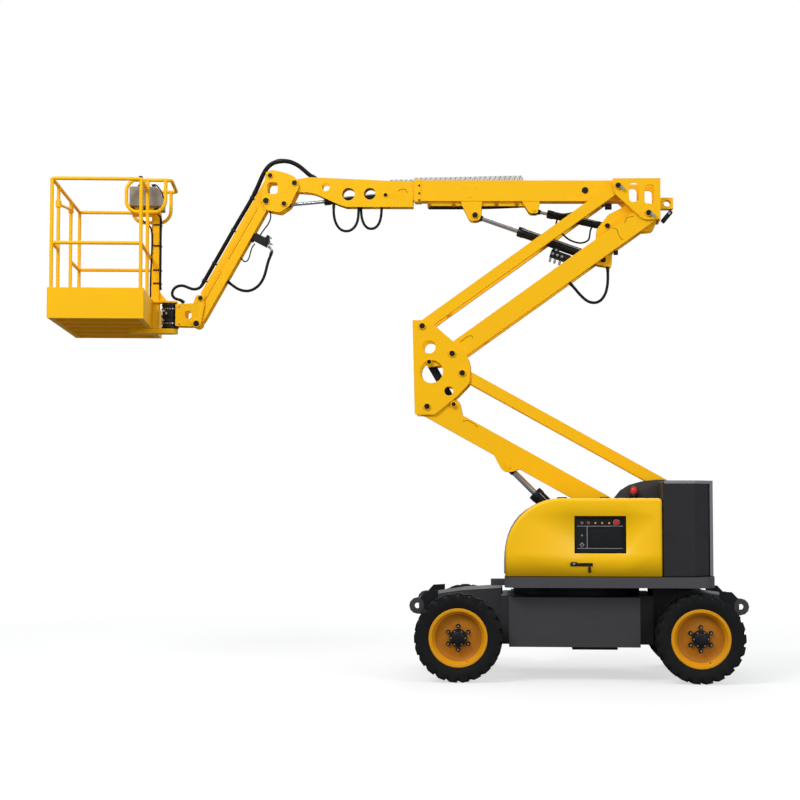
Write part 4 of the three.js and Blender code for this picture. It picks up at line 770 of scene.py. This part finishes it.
def rail_tubes():
    x, y = RAIL_X, RAIL_Y
    runs = [
        [(x[1], -GUARD_Y, RAIL_TOP), (x[1], y[0], RAIL_TOP), (x[0], y[0], RAIL_TOP), (x[0], y[1], RAIL_TOP),
         (x[1], y[1], RAIL_TOP), (x[1], GUARD_Y, RAIL_TOP)],
        [(x[0], ENTRY_Y[0], RAIL_MID), (x[0], y[0], RAIL_MID), (x[1], y[0], RAIL_MID), (x[1], y[1], RAIL_MID),
         (x[0], y[1], RAIL_MID), (x[0], ENTRY_Y[1], RAIL_MID)],
        [(-310, -GUARD_Y, GUARD_TOP), (26, -GUARD_Y, GUARD_TOP), (26, GUARD_Y, GUARD_TOP),
         (-310, GUARD_Y, GUARD_TOP)],
    ]
    for side in (-GUARD_Y, GUARD_Y):
        runs.append([(-25, side, GUARD_TOP), (-25, side, 4130), (-85, side, 4060), (-310, side, 4060),
                     (-370, side, 4120), (-370, side, 4290), (-310, side, GUARD_TOP),
                     (-290, side, GUARD_TOP)])
    posts = [(px, py, RAIL_TOP) for px in x for py in y] + [(x[0], py, RAIL_TOP) for py in ENTRY_Y]
    posts += [(x[1], py, GUARD_TOP) for py in (-GUARD_Y, GUARD_Y)]
    runs += [[(px, py, RAIL_FOOT), (px, py, top)] for px, py, top in posts]
    return runs


RAIL_RUNS = rail_tubes()
for number, run in enumerate(RAIL_RUNS):
    first = ["platform_rails"] if number == 0 else []
    swept("rail_run_%02d" % number, bent(run), 0.016, yellow_paint, "platform", sides=5, replaced=first)
print("rail runs:", len(RAIL_RUNS))

# %% [markdown]
# ### Drag chain
# The hoses that follow the sliding boom lie in a plastic chain of short links on top of it.

# %% Chain links
CHAIN_MOUTH, CHAIN_END, CHAIN_PITCH = -2030, -820, 44


def on_boom(x, y, z):
    """A point given along the boom from its pin, in drawing millimetres, to frame metres."""
    return at(BOOM_PIN[0] + x * math.cos(BOOM_TILT) + z * math.sin(BOOM_TILT), y,
              BOOM_PIN[1] - x * math.sin(BOOM_TILT) + z * math.cos(BOOM_TILT))


def drag_chain():
    """Links that shrink towards the boom's mouth, where the chain dips behind the tube's top edge."""
    links, bridges = bmesh.new(), bmesh.new()
    tilt = Matrix.Rotation(BOOM_TILT, 4, "Y")
    count = int((CHAIN_END - CHAIN_MOUTH) / CHAIN_PITCH)
    for step in range(count):
        share = 0.45 + 0.55 * step / (count - 1)
        x = CHAIN_MOUTH + CHAIN_PITCH * (step + 0.5)
        seat = 68 if x > -1830 else 54
        place = Matrix.Translation(on_boom(x, 0, seat + 22 * share)) @ tilt
        for y in (-0.029, 0.029):
            size = Matrix.Diagonal((0.040, 0.010, 0.044 * share, 1))
            bmesh.ops.create_cube(links, size=1, matrix=place @ Matrix.Translation((0, y, 0)) @ size)
            bar(links, place @ Vector((0.019, y * 1.13, 0)), place @ Vector((0.019, y * 1.19, 0)),
                0.012 * share, 12)
            bar(bridges, place @ Vector((-0.006, y * 1.10, -0.018 * share)),
                place @ Vector((0.006, y * 1.10, 0.018 * share)), 0.0035, 8)
        for z in (-0.020, 0.020):
            size = Matrix.Diagonal((0.018, 0.060, 0.006 * share, 1))
            bmesh.ops.create_cube(bridges, size=1,
                                  matrix=place @ Matrix.Translation((0, 0, z * share)) @ size)
    settle("drag_chain_bridges", bridges, chassis_paint, "main_boom", bevel_mm=0.6, segments=1)
    settle("drag_chain_links", links, chain_plastic, "main_boom", ["cable_track"], bevel_mm=1.2, segments=1)


drag_chain()
print("drag chain done")

# %% [markdown]
# ### Pins
# Every joint turns on a black oxidised pin. Outside the plate it has a painted collar, and a small keeper
# plate with one bolt stops it turning. They are short turned bars and cut plates set on both sides.

# %% Pin heads, collars and keepers
PINS = [
    ("turntable", 533, 1309, 178, 22), ("turntable", 843, 1602, 178, 22), ("turntable", 260, 958, 103, 22),
    ("knuckle_mid", -1299.2, 2335.1, 172, 22), ("knuckle_mid", -989.2, 2628.1, 172, 22),
    ("knuckle_mid", -1077.2, 2800.1, 172, 22), ("knuckle_mid", -1341.2, 3045.1, 172, 22),
    ("knuckle_mid", -1065.2, 2353.1, 164, 16), ("knuckle_mid", -1280.2, 2728.1, 164, 16),
    ("knuckle_top", 647.6, 4025.9, 172, 22), ("knuckle_top", 383.6, 4270.9, 172, 22),
    ("knuckle_top", 252, 3628, 72, 22), ("knuckle_top", 292, 3930, 72, 20),
    ("main_boom", -876, 4038, 80, 22), ("main_boom", 97, 4247, 77, 27), ("boom_inner", -1674, 4231, 68, 14),
    ("knuckle_jib", -2489, 4346, 99, 20), ("knuckle_jib", -2583, 4160, 99, 18),
    ("knuckle_jib", -2709, 4416, 99, 18), ("knuckle_jib", -2746, 4188, 99, 24),
    ("platform_head", -3333, 3317.5, 95, 18), ("platform_head", -3370, 3089.5, 95, 24),
]
KEEPERS = {(647.6, 4025.9): -40, (383.6, 4270.9): -45, (843, 1602): 30}


def pins_of(body):
    heads, collars, keepers = bmesh.new(), bmesh.new(), bmesh.new()
    for x, z, y, radius in [spot[1:] for spot in PINS if spot[0] == body]:
        for side in (-1, 1):
            out = Vector((0, side, 0))
            spot = at(x, side * y, z)
            profile = [(ON_AXIS, -0.010), (radius + 2, -0.010), (radius + 2, 3), (radius - 1, 6), (6, 6),
                       (4, 3),
                       (ON_AXIS, 3)]
            turn_profile(heads, profile, spot, out, 28)
            ring = [(radius + 3, -8), (radius + 10, -8), (radius + 10, -2), (radius + 8, 0), (radius + 3, 0)]
            turn_profile(collars, ring, spot, out, 28)
            if (x, z) in KEEPERS:
                turn = pitched(-KEEPERS[(x, z)])
                far = turn @ Vector((0.052, 0, 0))
                low, high = Vector((-0.010, -0.003, -0.012)), Vector((0.034, 0.003, 0.012))
                middle = spot + far * 0.62 + out * 0.008
                block(keepers, middle + low, middle + high, turn)
                bar(keepers, spot + far + out * 0.008, spot + far + out * 0.020, 0.010, 6)
    settle(body + "_pin_heads", heads, black_paint, body)
    settle(body + "_pin_collars", collars, yellow_paint if body != "turntable" else deck_paint, body)
    if keepers.verts:
        settle(body + "_pin_keepers", keepers, zinc_steel, body, bevel_mm=1, segments=1)
    else:
        keepers.free()


for body in sorted({spot[0] for spot in PINS}):
    pins_of(body)
print("pins:", len(PINS))

# %% [markdown]
# ### Control panel, latch and hood fittings
# The ground controls sit in a black recess: key switches and lamps in a row, a mushroom stop button with a
# pale ring, a framed display, and a guard line between them. Every legend plate stays blank.

# %% Ground controls
PANEL_FACE = -822


def knob(bm, x, z, radius, height, sides=24):
    """A round knob on the panel that tapers a little towards its face."""
    bar(bm, at(x, PANEL_FACE, z), at(x, PANEL_FACE - height, z), radius * MM, sides, radius * 0.85 * MM)


def ground_controls():
    dark, red, pale, glass, lens = (bmesh.new() for _ in range(5))
    for x in (31, 84):
        knob(pale, x, 1322, 13, 3)
        knob(red, x, 1322, 9, 16)
    for x in (142, 198, 256):
        knob(dark, x, 1322, 14, 4)
        knob(lens, x, 1322, 9, 11)
    knob(pale, 316, 1326, 29, 4, 32)
    knob(red, 316, 1326, 12, 12)
    head = [(ON_AXIS, 10), (17, 10), (22, 13), (23, 17), (20, 22), (ON_AXIS, 24)]
    turn_profile(red, head, at(316, PANEL_FACE, 1326), (0, -1, 0), 32)
    for low, high in (((-12, 1293), (372, 1299)), ((70, 1110), (77, 1296)), ((-12, 1108), (372, 1114))):
        block(pale, at(low[0], PANEL_FACE - 3, low[1]), at(high[0], PANEL_FACE + 2, high[1]))
    block(dark, at(92, PANEL_FACE - 4, 1128), at(360, PANEL_FACE + 2, 1282))
    block(glass, at(106, PANEL_FACE - 5, 1142), at(346, PANEL_FACE + 1, 1268))
    knob(pale, 30, 1219, 9, 8)
    knob(dark, 30, 1172, 8, 6)
    block(pale, at(14, PANEL_FACE - 6, 1124), at(46, PANEL_FACE, 1156), pitched(45))
    knob(dark, 30, 1140, 9, 14)
    for x in (-16, 377):
        for z in (1086, 1366):
            knob(pale, x, z, 5, 2, 6)
    for name, bm, finish in (("dark", dark, black_plastic), ("red", red, red_plastic),
                             ("pale", pale, trim_paint),
                             ("display", glass, dark_glass), ("lamps", lens, amber_lens)):
        settle("panel_controls_" + name, bm, finish, "turntable", bevel_mm=1)


ground_controls()

# %% Latch, key and hood hinges
def hood_fittings(side, body):
    face = side * 856
    black, steel = bmesh.new(), bmesh.new()
    for x, z, height in (((-68, 117), (964, 992), 9), ((-60, -14), (970, 1000), 20)):
        low, high = sorted((face, face + side * height))
        block(black, at(x[0], low, z[0]), at(x[1], high, z[1]))
    bar(steel, at(-38, face + side * 18, 985), at(-38, face + side * 24, 985), 0.011, 24)
    bar(black, at(90, face, 950), at(90, face + side * 12, 950), 0.012, 20)
    bar(black, at(90, face + side * 6, 940), at(92, face + side * 6, 912), 0.010, 12, 0.013)
    settle("latch_" + body, black, black_plastic, body, bevel_mm=4, segments=3)
    settle("latch_lock_" + body, steel, zinc_steel, body, bevel_mm=1)
    hinge = bmesh.new()
    for x in (-120, 240, 560):
        bar(hinge, at(x - 40, side * 248, 1530), at(x + 40, side * 248, 1530), 0.009, 16)
        block(hinge, at(x - 38, side * 262 - 14, 1527), at(x + 38, side * 262 + 14, 1531))
    settle("hinges_" + body, hinge, black_paint, body, bevel_mm=1)


hood_fittings(-1, "hood_near_side")
hood_fittings(1, "hood_far_side")
print("hood fittings done")

# %% [markdown]
# ### Turntable trim
# The counterweight's top and rear edges carry a lighter grey strip, a dark folded arch covers the mast
# behind the hoods, and a red warning lamp stands beside it. The slewing ring is held by a ring of bolts.

# %% Counterweight edges, arch cover, warning lamp, ring bolts
def counterweight_edges():
    bm = bmesh.new()
    top = 1672
    slant = [(961, 852), (1131, 618), (1131, 600), (1113, 600), (953, 824)]
    corner = [(1100, 662), (1131, 620), (1131, 560), (1118, 560)]
    for side in (-1, 1):
        low, high = sorted((side * 855, side * 828))
        block(bm, at(710, low, top - 24), at(962, high, top + 4))
        plate(bm, [at(x, side * y, top - 24) for x, y in slant], (0, 0, 0.028))
        plate(bm, [at(x, side * y, 878) for x, y in corner], (0, 0, 0.798))
    block(bm, at(1106, -600, top - 24), at(1131, 600, top + 4))
    settle("counterweight_light_edges", bm, trim_paint, "turntable", bevel_mm=5, segments=3)


def arch_cover():
    bm = bmesh.new()
    side_view = [(330, 1500), (341, 1531), (397, 1600), (475, 1648), (579, 1678), (690, 1690), (780, 1690),
                 (780, 1500)]
    for y in (-182, 178):
        plate(bm, [at(x, y, z) for x, z in side_view], (0, 0.004, 0))
    settle("arch_cover", bm, chassis_paint, "turntable", bevel_mm=1.5)


def warning_lamp():
    bm = bmesh.new()
    foot = [(ON_AXIS, -28), (36, -28), (36, -8), (30, 0), (ON_AXIS, 0)]
    turn_profile(bm, foot, at(497, -216, 1572), (0, 0, 1), 32)
    block(bm, at(465, -232, 1518), at(529, -184, 1548))
    settle("warning_lamp_foot", bm, black_plastic, "turntable", bevel_mm=2)
    bm = bmesh.new()
    dome = [(ON_AXIS, 0), (32, 0), (32, 22), (28, 40), (19, 54), (8, 60), (ON_AXIS, 61)]
    turn_profile(bm, dome, at(497, -216, 1572), (0, 0, 1), 32)
    settle("warning_lamp_dome", bm, red_plastic, "turntable")


def lug_gussets():
    """Cut plates on both sides of each tie-down lug, hollowed round its eye."""
    bm = bmesh.new()
    side_view = [(1180, 748), (1285, 742), (1334, 690), (1308, 655), (1300, 619), (1308, 583), (1334, 556),
                 (1290, 520), (1180, 520)]
    for end in (-1, 1):
        for y in (-590, 586):
            plate(bm, [at(end * x, y, z) for x, z in side_view], (0, 0.004, 0))
    settle("lug_gussets", bm, black_paint, "chassis", bevel_mm=1.2)


def ring_bolts():
    bm = bmesh.new()
    for step in range(36):
        spin = Matrix.Rotation(2 * math.pi * step / 36, 4, "Z")
        spot = at(0, 0, 0) + spin @ Vector((0.520, 0, 0))
        bar(bm, spot + Vector((0, 0, 0.700)), spot + Vector((0, 0, 0.716)), 0.012, 6)
    settle("ring_bolts", bm, black_paint, "chassis")


counterweight_edges()
arch_cover()
warning_lamp()
ring_bolts()
lug_gussets()
print("turntable trim done")

# %% [markdown]
# ### Weld seams and slots
# Sleeves are slot welded to the tubes near the arm ends. Each slot is a shallow bead with a hook at one end,
# drawn as a thin tube that is half sunk in the plate and repeated on the far side.

# %% Seams on both sides of a body
SEAMS = [
    ("upper_riser", 136, 3, [(-1009, 2903), (-939, 2956), (-905, 2958), (-893, 2936)]),
    ("upper_riser", 136, 3, [(328, 3899), (350, 3898), (372, 3888), (380, 3850), (400, 3815), (423, 3792)]),
    ("upper_riser", 136, 3, [(438, 3942), (460, 3991), (521, 4003)]),
    ("lower_riser", 136, 3, [(-985, 2206), (-945, 2212), (-880, 2180), (-858, 2150)]),
    ("lower_riser", 136, 3, [(300, 1486), (330, 1440), (352, 1380)]),
    ("jib_lower", 64, 2.2, [(-2824, 4124), (-3087, 3665)]),
    ("jib_lower", 64, 2.2, [(-3166, 3561), (-3150, 3551), (-3300, 3295)]),
    ("boom_inner", 64, 3, [(-1560, 4262), (-1545, 4278), (-1500, 4282), (-1478, 4250)]),
]
# The beads are real; their darker yellow is painted shade along each slot.
for number, (body, y, radius, line) in enumerate(SEAMS):
    for side, word in SIDES:
        points = [at(x, side * y, z) for x, z in line]
        swept("seam_%02d_%s" % (number, word), points, radius * MM, yellow_painted_shade, body, sides=2)
print("seams:", 2 * len(SEAMS))

# %% [markdown]
# ### Boom fittings
# The collar at the boom's mouth holds wear pads with rows of screws, plugs close the weld holes above the
# lift ear, a hose tray hangs under the tube, and the valve block on the lift cylinder has steel unions.

# %% Screws, plugs, tray and valve block
def boom_fittings():
    screws, plugs, tray = bmesh.new(), bmesh.new(), bmesh.new()
    for side in (-1, 1):
        for z in (4309, 4240, 4178):
            bar(screws, at(-1372, side * 80, z), at(-1372, side * 85, z), 0.009, 12)
        for x, z in ((-965, 4282), (-871, 4285), (-916, 4205)):
            bar(plugs, at(x, side * 74, z), at(x, side * 77, z), 0.012, 16)
        for z in (3, 12):
            bar(plugs, at(97, side * 74, 4247), at(97, side * (77 + z / 6), 4247), (34 - z) * MM, 32)
    for x in (-1300, -1080, -700, -520):
        block(tray, at(x, -60, 4118), at(x + 26, 60, 4152))
        for side in (-1, 1):
            bar(tray, at(x + 13, side * 60, 4134), at(x + 13, side * 66, 4134), 0.008, 6)
    settle("collar_screws", screws, black_paint, "main_boom", bevel_mm=0.8)
    settle("weld_plugs", plugs, yellow_paint, "main_boom", bevel_mm=1)
    # The tray brackets take the same darker yellow, painted shade under the boom.
    settle("tray_brackets", tray, yellow_painted_shade, "main_boom", bevel_mm=2)
    for side, word in SIDES:
        line = [(-1290, side * 30, 4120), (-900, side * 30, 4116), (-700, side * 30, 4118),
                (-430, side * 26, 4126)]
        thin_hose("tray_hose_" + word, line, 0.009, "main_boom", per_span=6)


def valve_block():
    bm, steel = bmesh.new(), bmesh.new()
    block(bm, at(-214, -34, 3636), at(-34, 30, 3706), pitched(20))
    block(bm, at(-190, -30, 3700), at(-130, 24, 3760), pitched(20))
    for x, y, z in ((-190, -34, 3690), (-150, -34, 3676), (-110, -34, 3662), (-160, -30, 3722)):
        bar(steel, at(x, y, z), at(x, y - 18, z), 0.013, 6)
        bar(steel, at(x, y - 18, z), at(x, y - 30, z), 0.009, 16)
    for x in (-206, -166, -124):
        drop = (x + 206) * 0.36
        bar(steel, at(x, -10, 3672 - drop), at(x - 12, -10, 3622 - drop), 0.011, 6)
    settle("cylinder_valve_block", bm, black_paint, "boom_cyl_barrel", bevel_mm=2)
    settle("cylinder_valve_unions", steel, zinc_steel, "boom_cyl_barrel", bevel_mm=0.8)


def top_knuckle_fittings():
    bm, steel = bmesh.new(), bmesh.new()
    block(bm, at(270, -84, 4074), at(330, -52, 4128))
    bar(bm, at(300, -84, 4100), at(300, -98, 4100), 0.016, 16)
    bar(bm, at(268, -70, 4104), at(236, -70, 4112), 0.008, 12)
    block(bm, at(344, -100, 3672), at(382, -40, 3706))
    for side in (-1, 1):
        low, high = sorted((side * 30, side * 42))
        block(bm, at(756, low, 3996), at(876, high, 4034), pitched(-50))
    bar(steel, at(834, -52, 4040), at(834, 52, 4040), 0.013, 16)
    settle("limit_switches", bm, black_plastic, "knuckle_top", bevel_mm=3)
    settle("strut_bolt", steel, zinc_steel, "knuckle_top", bevel_mm=1)
    loop = [(-150, 3992), (-160, 3950), (-140, 3900), (-99, 3858), (-50, 3816), (-4, 3794), (50, 3782),
            (96, 3790),
            (126, 3812), (136, 3850), (142, 3890), (156, 3926)]
    thin_hose("level_cylinder_hose", [(x, -52, z) for x, z in loop], 0.008, "level_cyl_barrel")
    sleeve = [(-236, 4064), (-180, 4046), (-120, 4034), (-60, 4036), (0, 4050), (60, 4066)]
    thin_hose("level_cylinder_sleeve", [(x, -44, z) for x, z in sleeve], 0.016, "level_cyl_barrel")


boom_fittings()
valve_block()
top_knuckle_fittings()
print("boom fittings done")

# %% [markdown]
# ### Jib fittings
# A hose bundle is clipped along the jib's upper edge. Below the knuckle a black valve block with steel
# unions feeds the jib, with a thin pilot hose from the knuckle and a short return loop.

# %% Jib bundle and valve
def jib_fittings():
    bundle = [(-2858, 4276), (-2868, 4252), (-2884, 4222), (-2914, 4168), (-2990, 4040), (-3076, 3892),
              (-3190, 3692), (-3280, 3534), (-3312, 3478), (-3326, 3460)]
    for number, (shift, radius) in enumerate(((0, 0.016), (-24, 0.014), (24, 0.012))):
        line = [(x - 4, shift, z + 2) for x, z in bundle]
        thin_hose("jib_bundle_%d" % number, line, radius, "jib_upper")
    clips = bmesh.new()
    for x, z in ((-2880, 4226), (-3050, 3936), (-3220, 3638), (-3308, 3484)):
        block(clips, at(x - 20, -40, z - 9), at(x + 22, 40, z + 9), pitched(29.6))
    settle("jib_bundle_clips", clips, black_paint, "jib_upper", bevel_mm=2)
    bm, steel = bmesh.new(), bmesh.new()
    tilt, middle = pitched(28), at(-2800, 0, 3846)
    for low, high in (((-0.070, -0.040, -0.036), (0.070, 0.040, 0.036)),
                      ((-0.086, -0.030, -0.018), (-0.058, 0.030, 0.060)),
                      ((0.036, -0.046, -0.050), (0.060, 0.030, 0.044))):
        block(bm, middle + Vector(low), middle + Vector(high), tilt)
    for along, height in ((0.030, 0.050), (0.062, 0.010), (0.062, -0.026), (0.010, 0.048)):
        start = middle + tilt @ Vector((along + 0.004, -0.010, height * 0.6))
        stop = middle + tilt @ Vector((along + 0.034, -0.010, height))
        bar(steel, start, stop, 0.010, 6)
        bar(steel, stop, stop + (stop - start) * 0.5, 0.007, 14)
    elbow = middle + tilt @ Vector((0.088, -0.010, -0.010))
    bar(steel, elbow, at(-2704, 0, 3750), 0.009, 16)
    bar(steel, at(-2704, 0, 3762), at(-2709, 0, 3730), 0.014, 6)
    settle("jib_valve_block", bm, black_paint, "jib_lower", bevel_mm=2)
    settle("jib_valve_unions", steel, zinc_steel, "jib_lower", bevel_mm=0.8)
    pilot = [(-2744, 0, 4150), (-2722, -2, 4104), (-2716, -6, 4050), (-2734, -8, 3996), (-2768, -8, 3950),
             (-2800, -6, 3906), (-2812, 0, 3880)]
    thin_hose("jib_pilot_hose", pilot, 0.006, "jib_lower")
    back = [(-2856, -20, 3812), (-2878, -24, 3780), (-2892, -26, 3740), (-2902, -26, 3700),
            (-2918, -26, 3664),
            (-2944, -24, 3650), (-2968, -22, 3668), (-2988, -16, 3690)]
    thin_hose("jib_return_hose", back, 0.006, "jib_lower")


jib_fittings()

# %% Rotator and bracket fittings
def rotator_fittings():
    black, steel = bmesh.new(), bmesh.new()
    centre = at(ROTATOR_X, 0, 0)
    rings = [[(72, 3150), (80, 3152), (80, 3172), (72, 3174)]]
    rings += [[(72, z - 8), (77, z - 6), (77, z + 6), (72, z + 8)] for z in (3062, 3262)]
    for ring in rings:
        turn_profile(black, ring, centre, (0, 0, 1), 48)
    for step in range(10):
        out = Matrix.Rotation(math.radians(200 + step * 16), 4, "Z") @ Vector((1, 0, 0))
        for height in (3096, 3226):
            level = centre + Vector((0, 0, height * MM))
            bar(steel, level + out * 0.070, level + out * 0.080, 0.007, 6)
    for x, y, z in ((-3664, -62, 3206), (-3672, -60, 3120), (-3640, -72, 3182)):
        block(black, at(x - 14, y - 14, z - 14), at(x + 14, y + 14, z + 14))
        bar(steel, at(x, y - 10, z), at(x, y - 30, z), 0.011, 6)
        bar(steel, at(x, y - 30, z), at(x, y - 40, z), 0.008, 16)
    bar(steel, at(-3508, 0, 3268), at(-3508, 0, 3290), 0.017, 6)
    settle("rotator_flanges", black, black_paint, "platform_head", bevel_mm=1.5)
    settle("rotator_bolts", steel, zinc_steel, "platform_head", bevel_mm=0.6)
    bolts = bmesh.new()
    for side in (-1, 1):
        for z in (3090, 3246):
            bar(bolts, at(-3528, side * 86, z), at(-3528, side * 92, z), 0.008, 6)
    for y in (-50, 0, 50):
        for z in (3100, 3236):
            bar(bolts, at(-3540, y, z), at(-3532, y, z), 0.010, 6)
    settle("bracket_bolts", bolts, zinc_steel, "platform_head", bevel_mm=0.6)


rotator_fittings()
print("jib fittings done")

# %% [markdown]
# ### Platform fittings
# The control box carries a joystick in a rubber boot, a stop button and switches. Cables run from it down
# the column, held by ties. The deck is punched for drainage, and the toe boards have folded corners.

# %% Control box
def control_box_fittings():
    black, red, steel = bmesh.new(), bmesh.new(), bmesh.new()
    foot = on_platform(-265, -110, 4310)
    boot = [(ON_AXIS, 0), (34, 0), (34, 5), (24, 12), (26, 20), (17, 27), (18, 34), (10, 42), (9, 76),
            (17, 80),
            (21, 92), (17, 106), (ON_AXIS, 110)]
    turn_profile(black, boot, foot, (0, 0, 1), 32)
    cap = [(ON_AXIS, 0), (19, 0), (19, 8), (12, 12), (12, 20), (17, 24), (17, 32), (ON_AXIS, 34)]
    for bm, y in ((black, -120), (red, -60)):
        turn_profile(bm, cap, on_platform(-150, y, 4308), (0, 0, 1), 28)
    for x, y in [(x, y) for y in (20, 80) for x in (-300, -260, -220)]:
        bar(steel, on_platform(x, y, 4310), on_platform(x, y, 4316), 0.008, 16)
        bar(black, on_platform(x, y, 4315), on_platform(x - 6, y, 4332), 0.004, 12, 0.006)
    for y in (-170, 170):
        for x in (-340, -110):
            bar(steel, on_platform(x, y, 4150), on_platform(x, y * 1.13, 4150), 0.006, 6)
    settle("control_box_black", black, black_plastic, "platform", bevel_mm=0.8)
    settle("control_box_stop", red, red_plastic, "platform", bevel_mm=0.8)
    settle("control_box_switches", steel, zinc_steel, "platform", bevel_mm=0.5)
    tray = bmesh.new()
    for x in (-330, -215, -120):
        block(tray, on_platform(x - 18, -157, 4090), on_platform(x + 18, -150, 4124))
    settle("tray_boxes", tray, black_plastic, "platform", bevel_mm=3)


# %% Cables, ties and toe board corners
def platform_trim():
    lead = [(-150, -120, 4338), (-130, -122, 4336), (-108, -124, 4318), (-84, -126, 4284), (-66, -128, 4250),
            (-58, -128, 4214)]
    thin_hose("control_lead", lead, 0.006, "platform", on_platform, 5)
    left = [(-262, -120, 4050), (-240, -90, 4012), (-200, -60, 3984), (-178, -44, 3960), (-168, -38, 3920),
            (-165, -36, 3840), (-168, -36, 3700), (-174, -38, 3560), (-176, -38, 3420), (-176, -40, 3320),
            (-180, -42, 3230), (-196, -44, 3130), (-206, -44, 3076)]
    thin_hose("column_cable_left", left, 0.008, "platform", on_platform)
    right = [(-120, -20, 4084), (-94, -22, 4060), (-88, -24, 4020), (-90, -24, 3900), (-90, -24, 3700),
             (-90, -24, 3560), (-90, -24, 3440), (-86, -22, 3400)]
    thin_hose("column_cable_right", right, 0.011, "platform", on_platform)
    ties = bmesh.new()
    for z in (3990, 3800, 3580, 3460):
        block(ties, on_platform(-160, -34, z - 6), on_platform(-74, 34, z + 6), PLATFORM_TURN)
    settle("column_ties", ties, black_plastic, "platform", bevel_mm=2)
    folds = bmesh.new()
    for x in PLATFORM_X:
        for side in (-1, 1):
            y = side * (PLATFORM_HALF - 4)
            bar(folds, on_platform(x, y, 3052), on_platform(x, y, 3311), 0.006, 16)
    settle("toe_board_folds", folds, yellow_paint, "platform")
    slats = bmesh.new()
    half = Vector((0.350, 0.018, 0.004))
    for step in range(15):
        middle = on_platform(-560, -840 + step * 120, 3087)
        block(slats, middle - half, middle + half, PLATFORM_TURN)
    settle("deck_treads", slats, yellow_paint, "platform", bevel_mm=3)
    # The drainage holes are drawn as thin black discs on the deck: their black is painted shade inside the
    # holes.
    holes = bmesh.new()
    for row in range(14):
        for column in range(14):
            spot = on_platform(-890 + column * 50, -780 + row * 120, 3080)
            bar(holes, spot - Vector((0, 0, 0.003)), spot, 0.011, 12)
    settle("deck_holes_painted_shade", holes, black_paint, "platform")


control_box_fittings()
platform_trim()
print("platform fittings done")
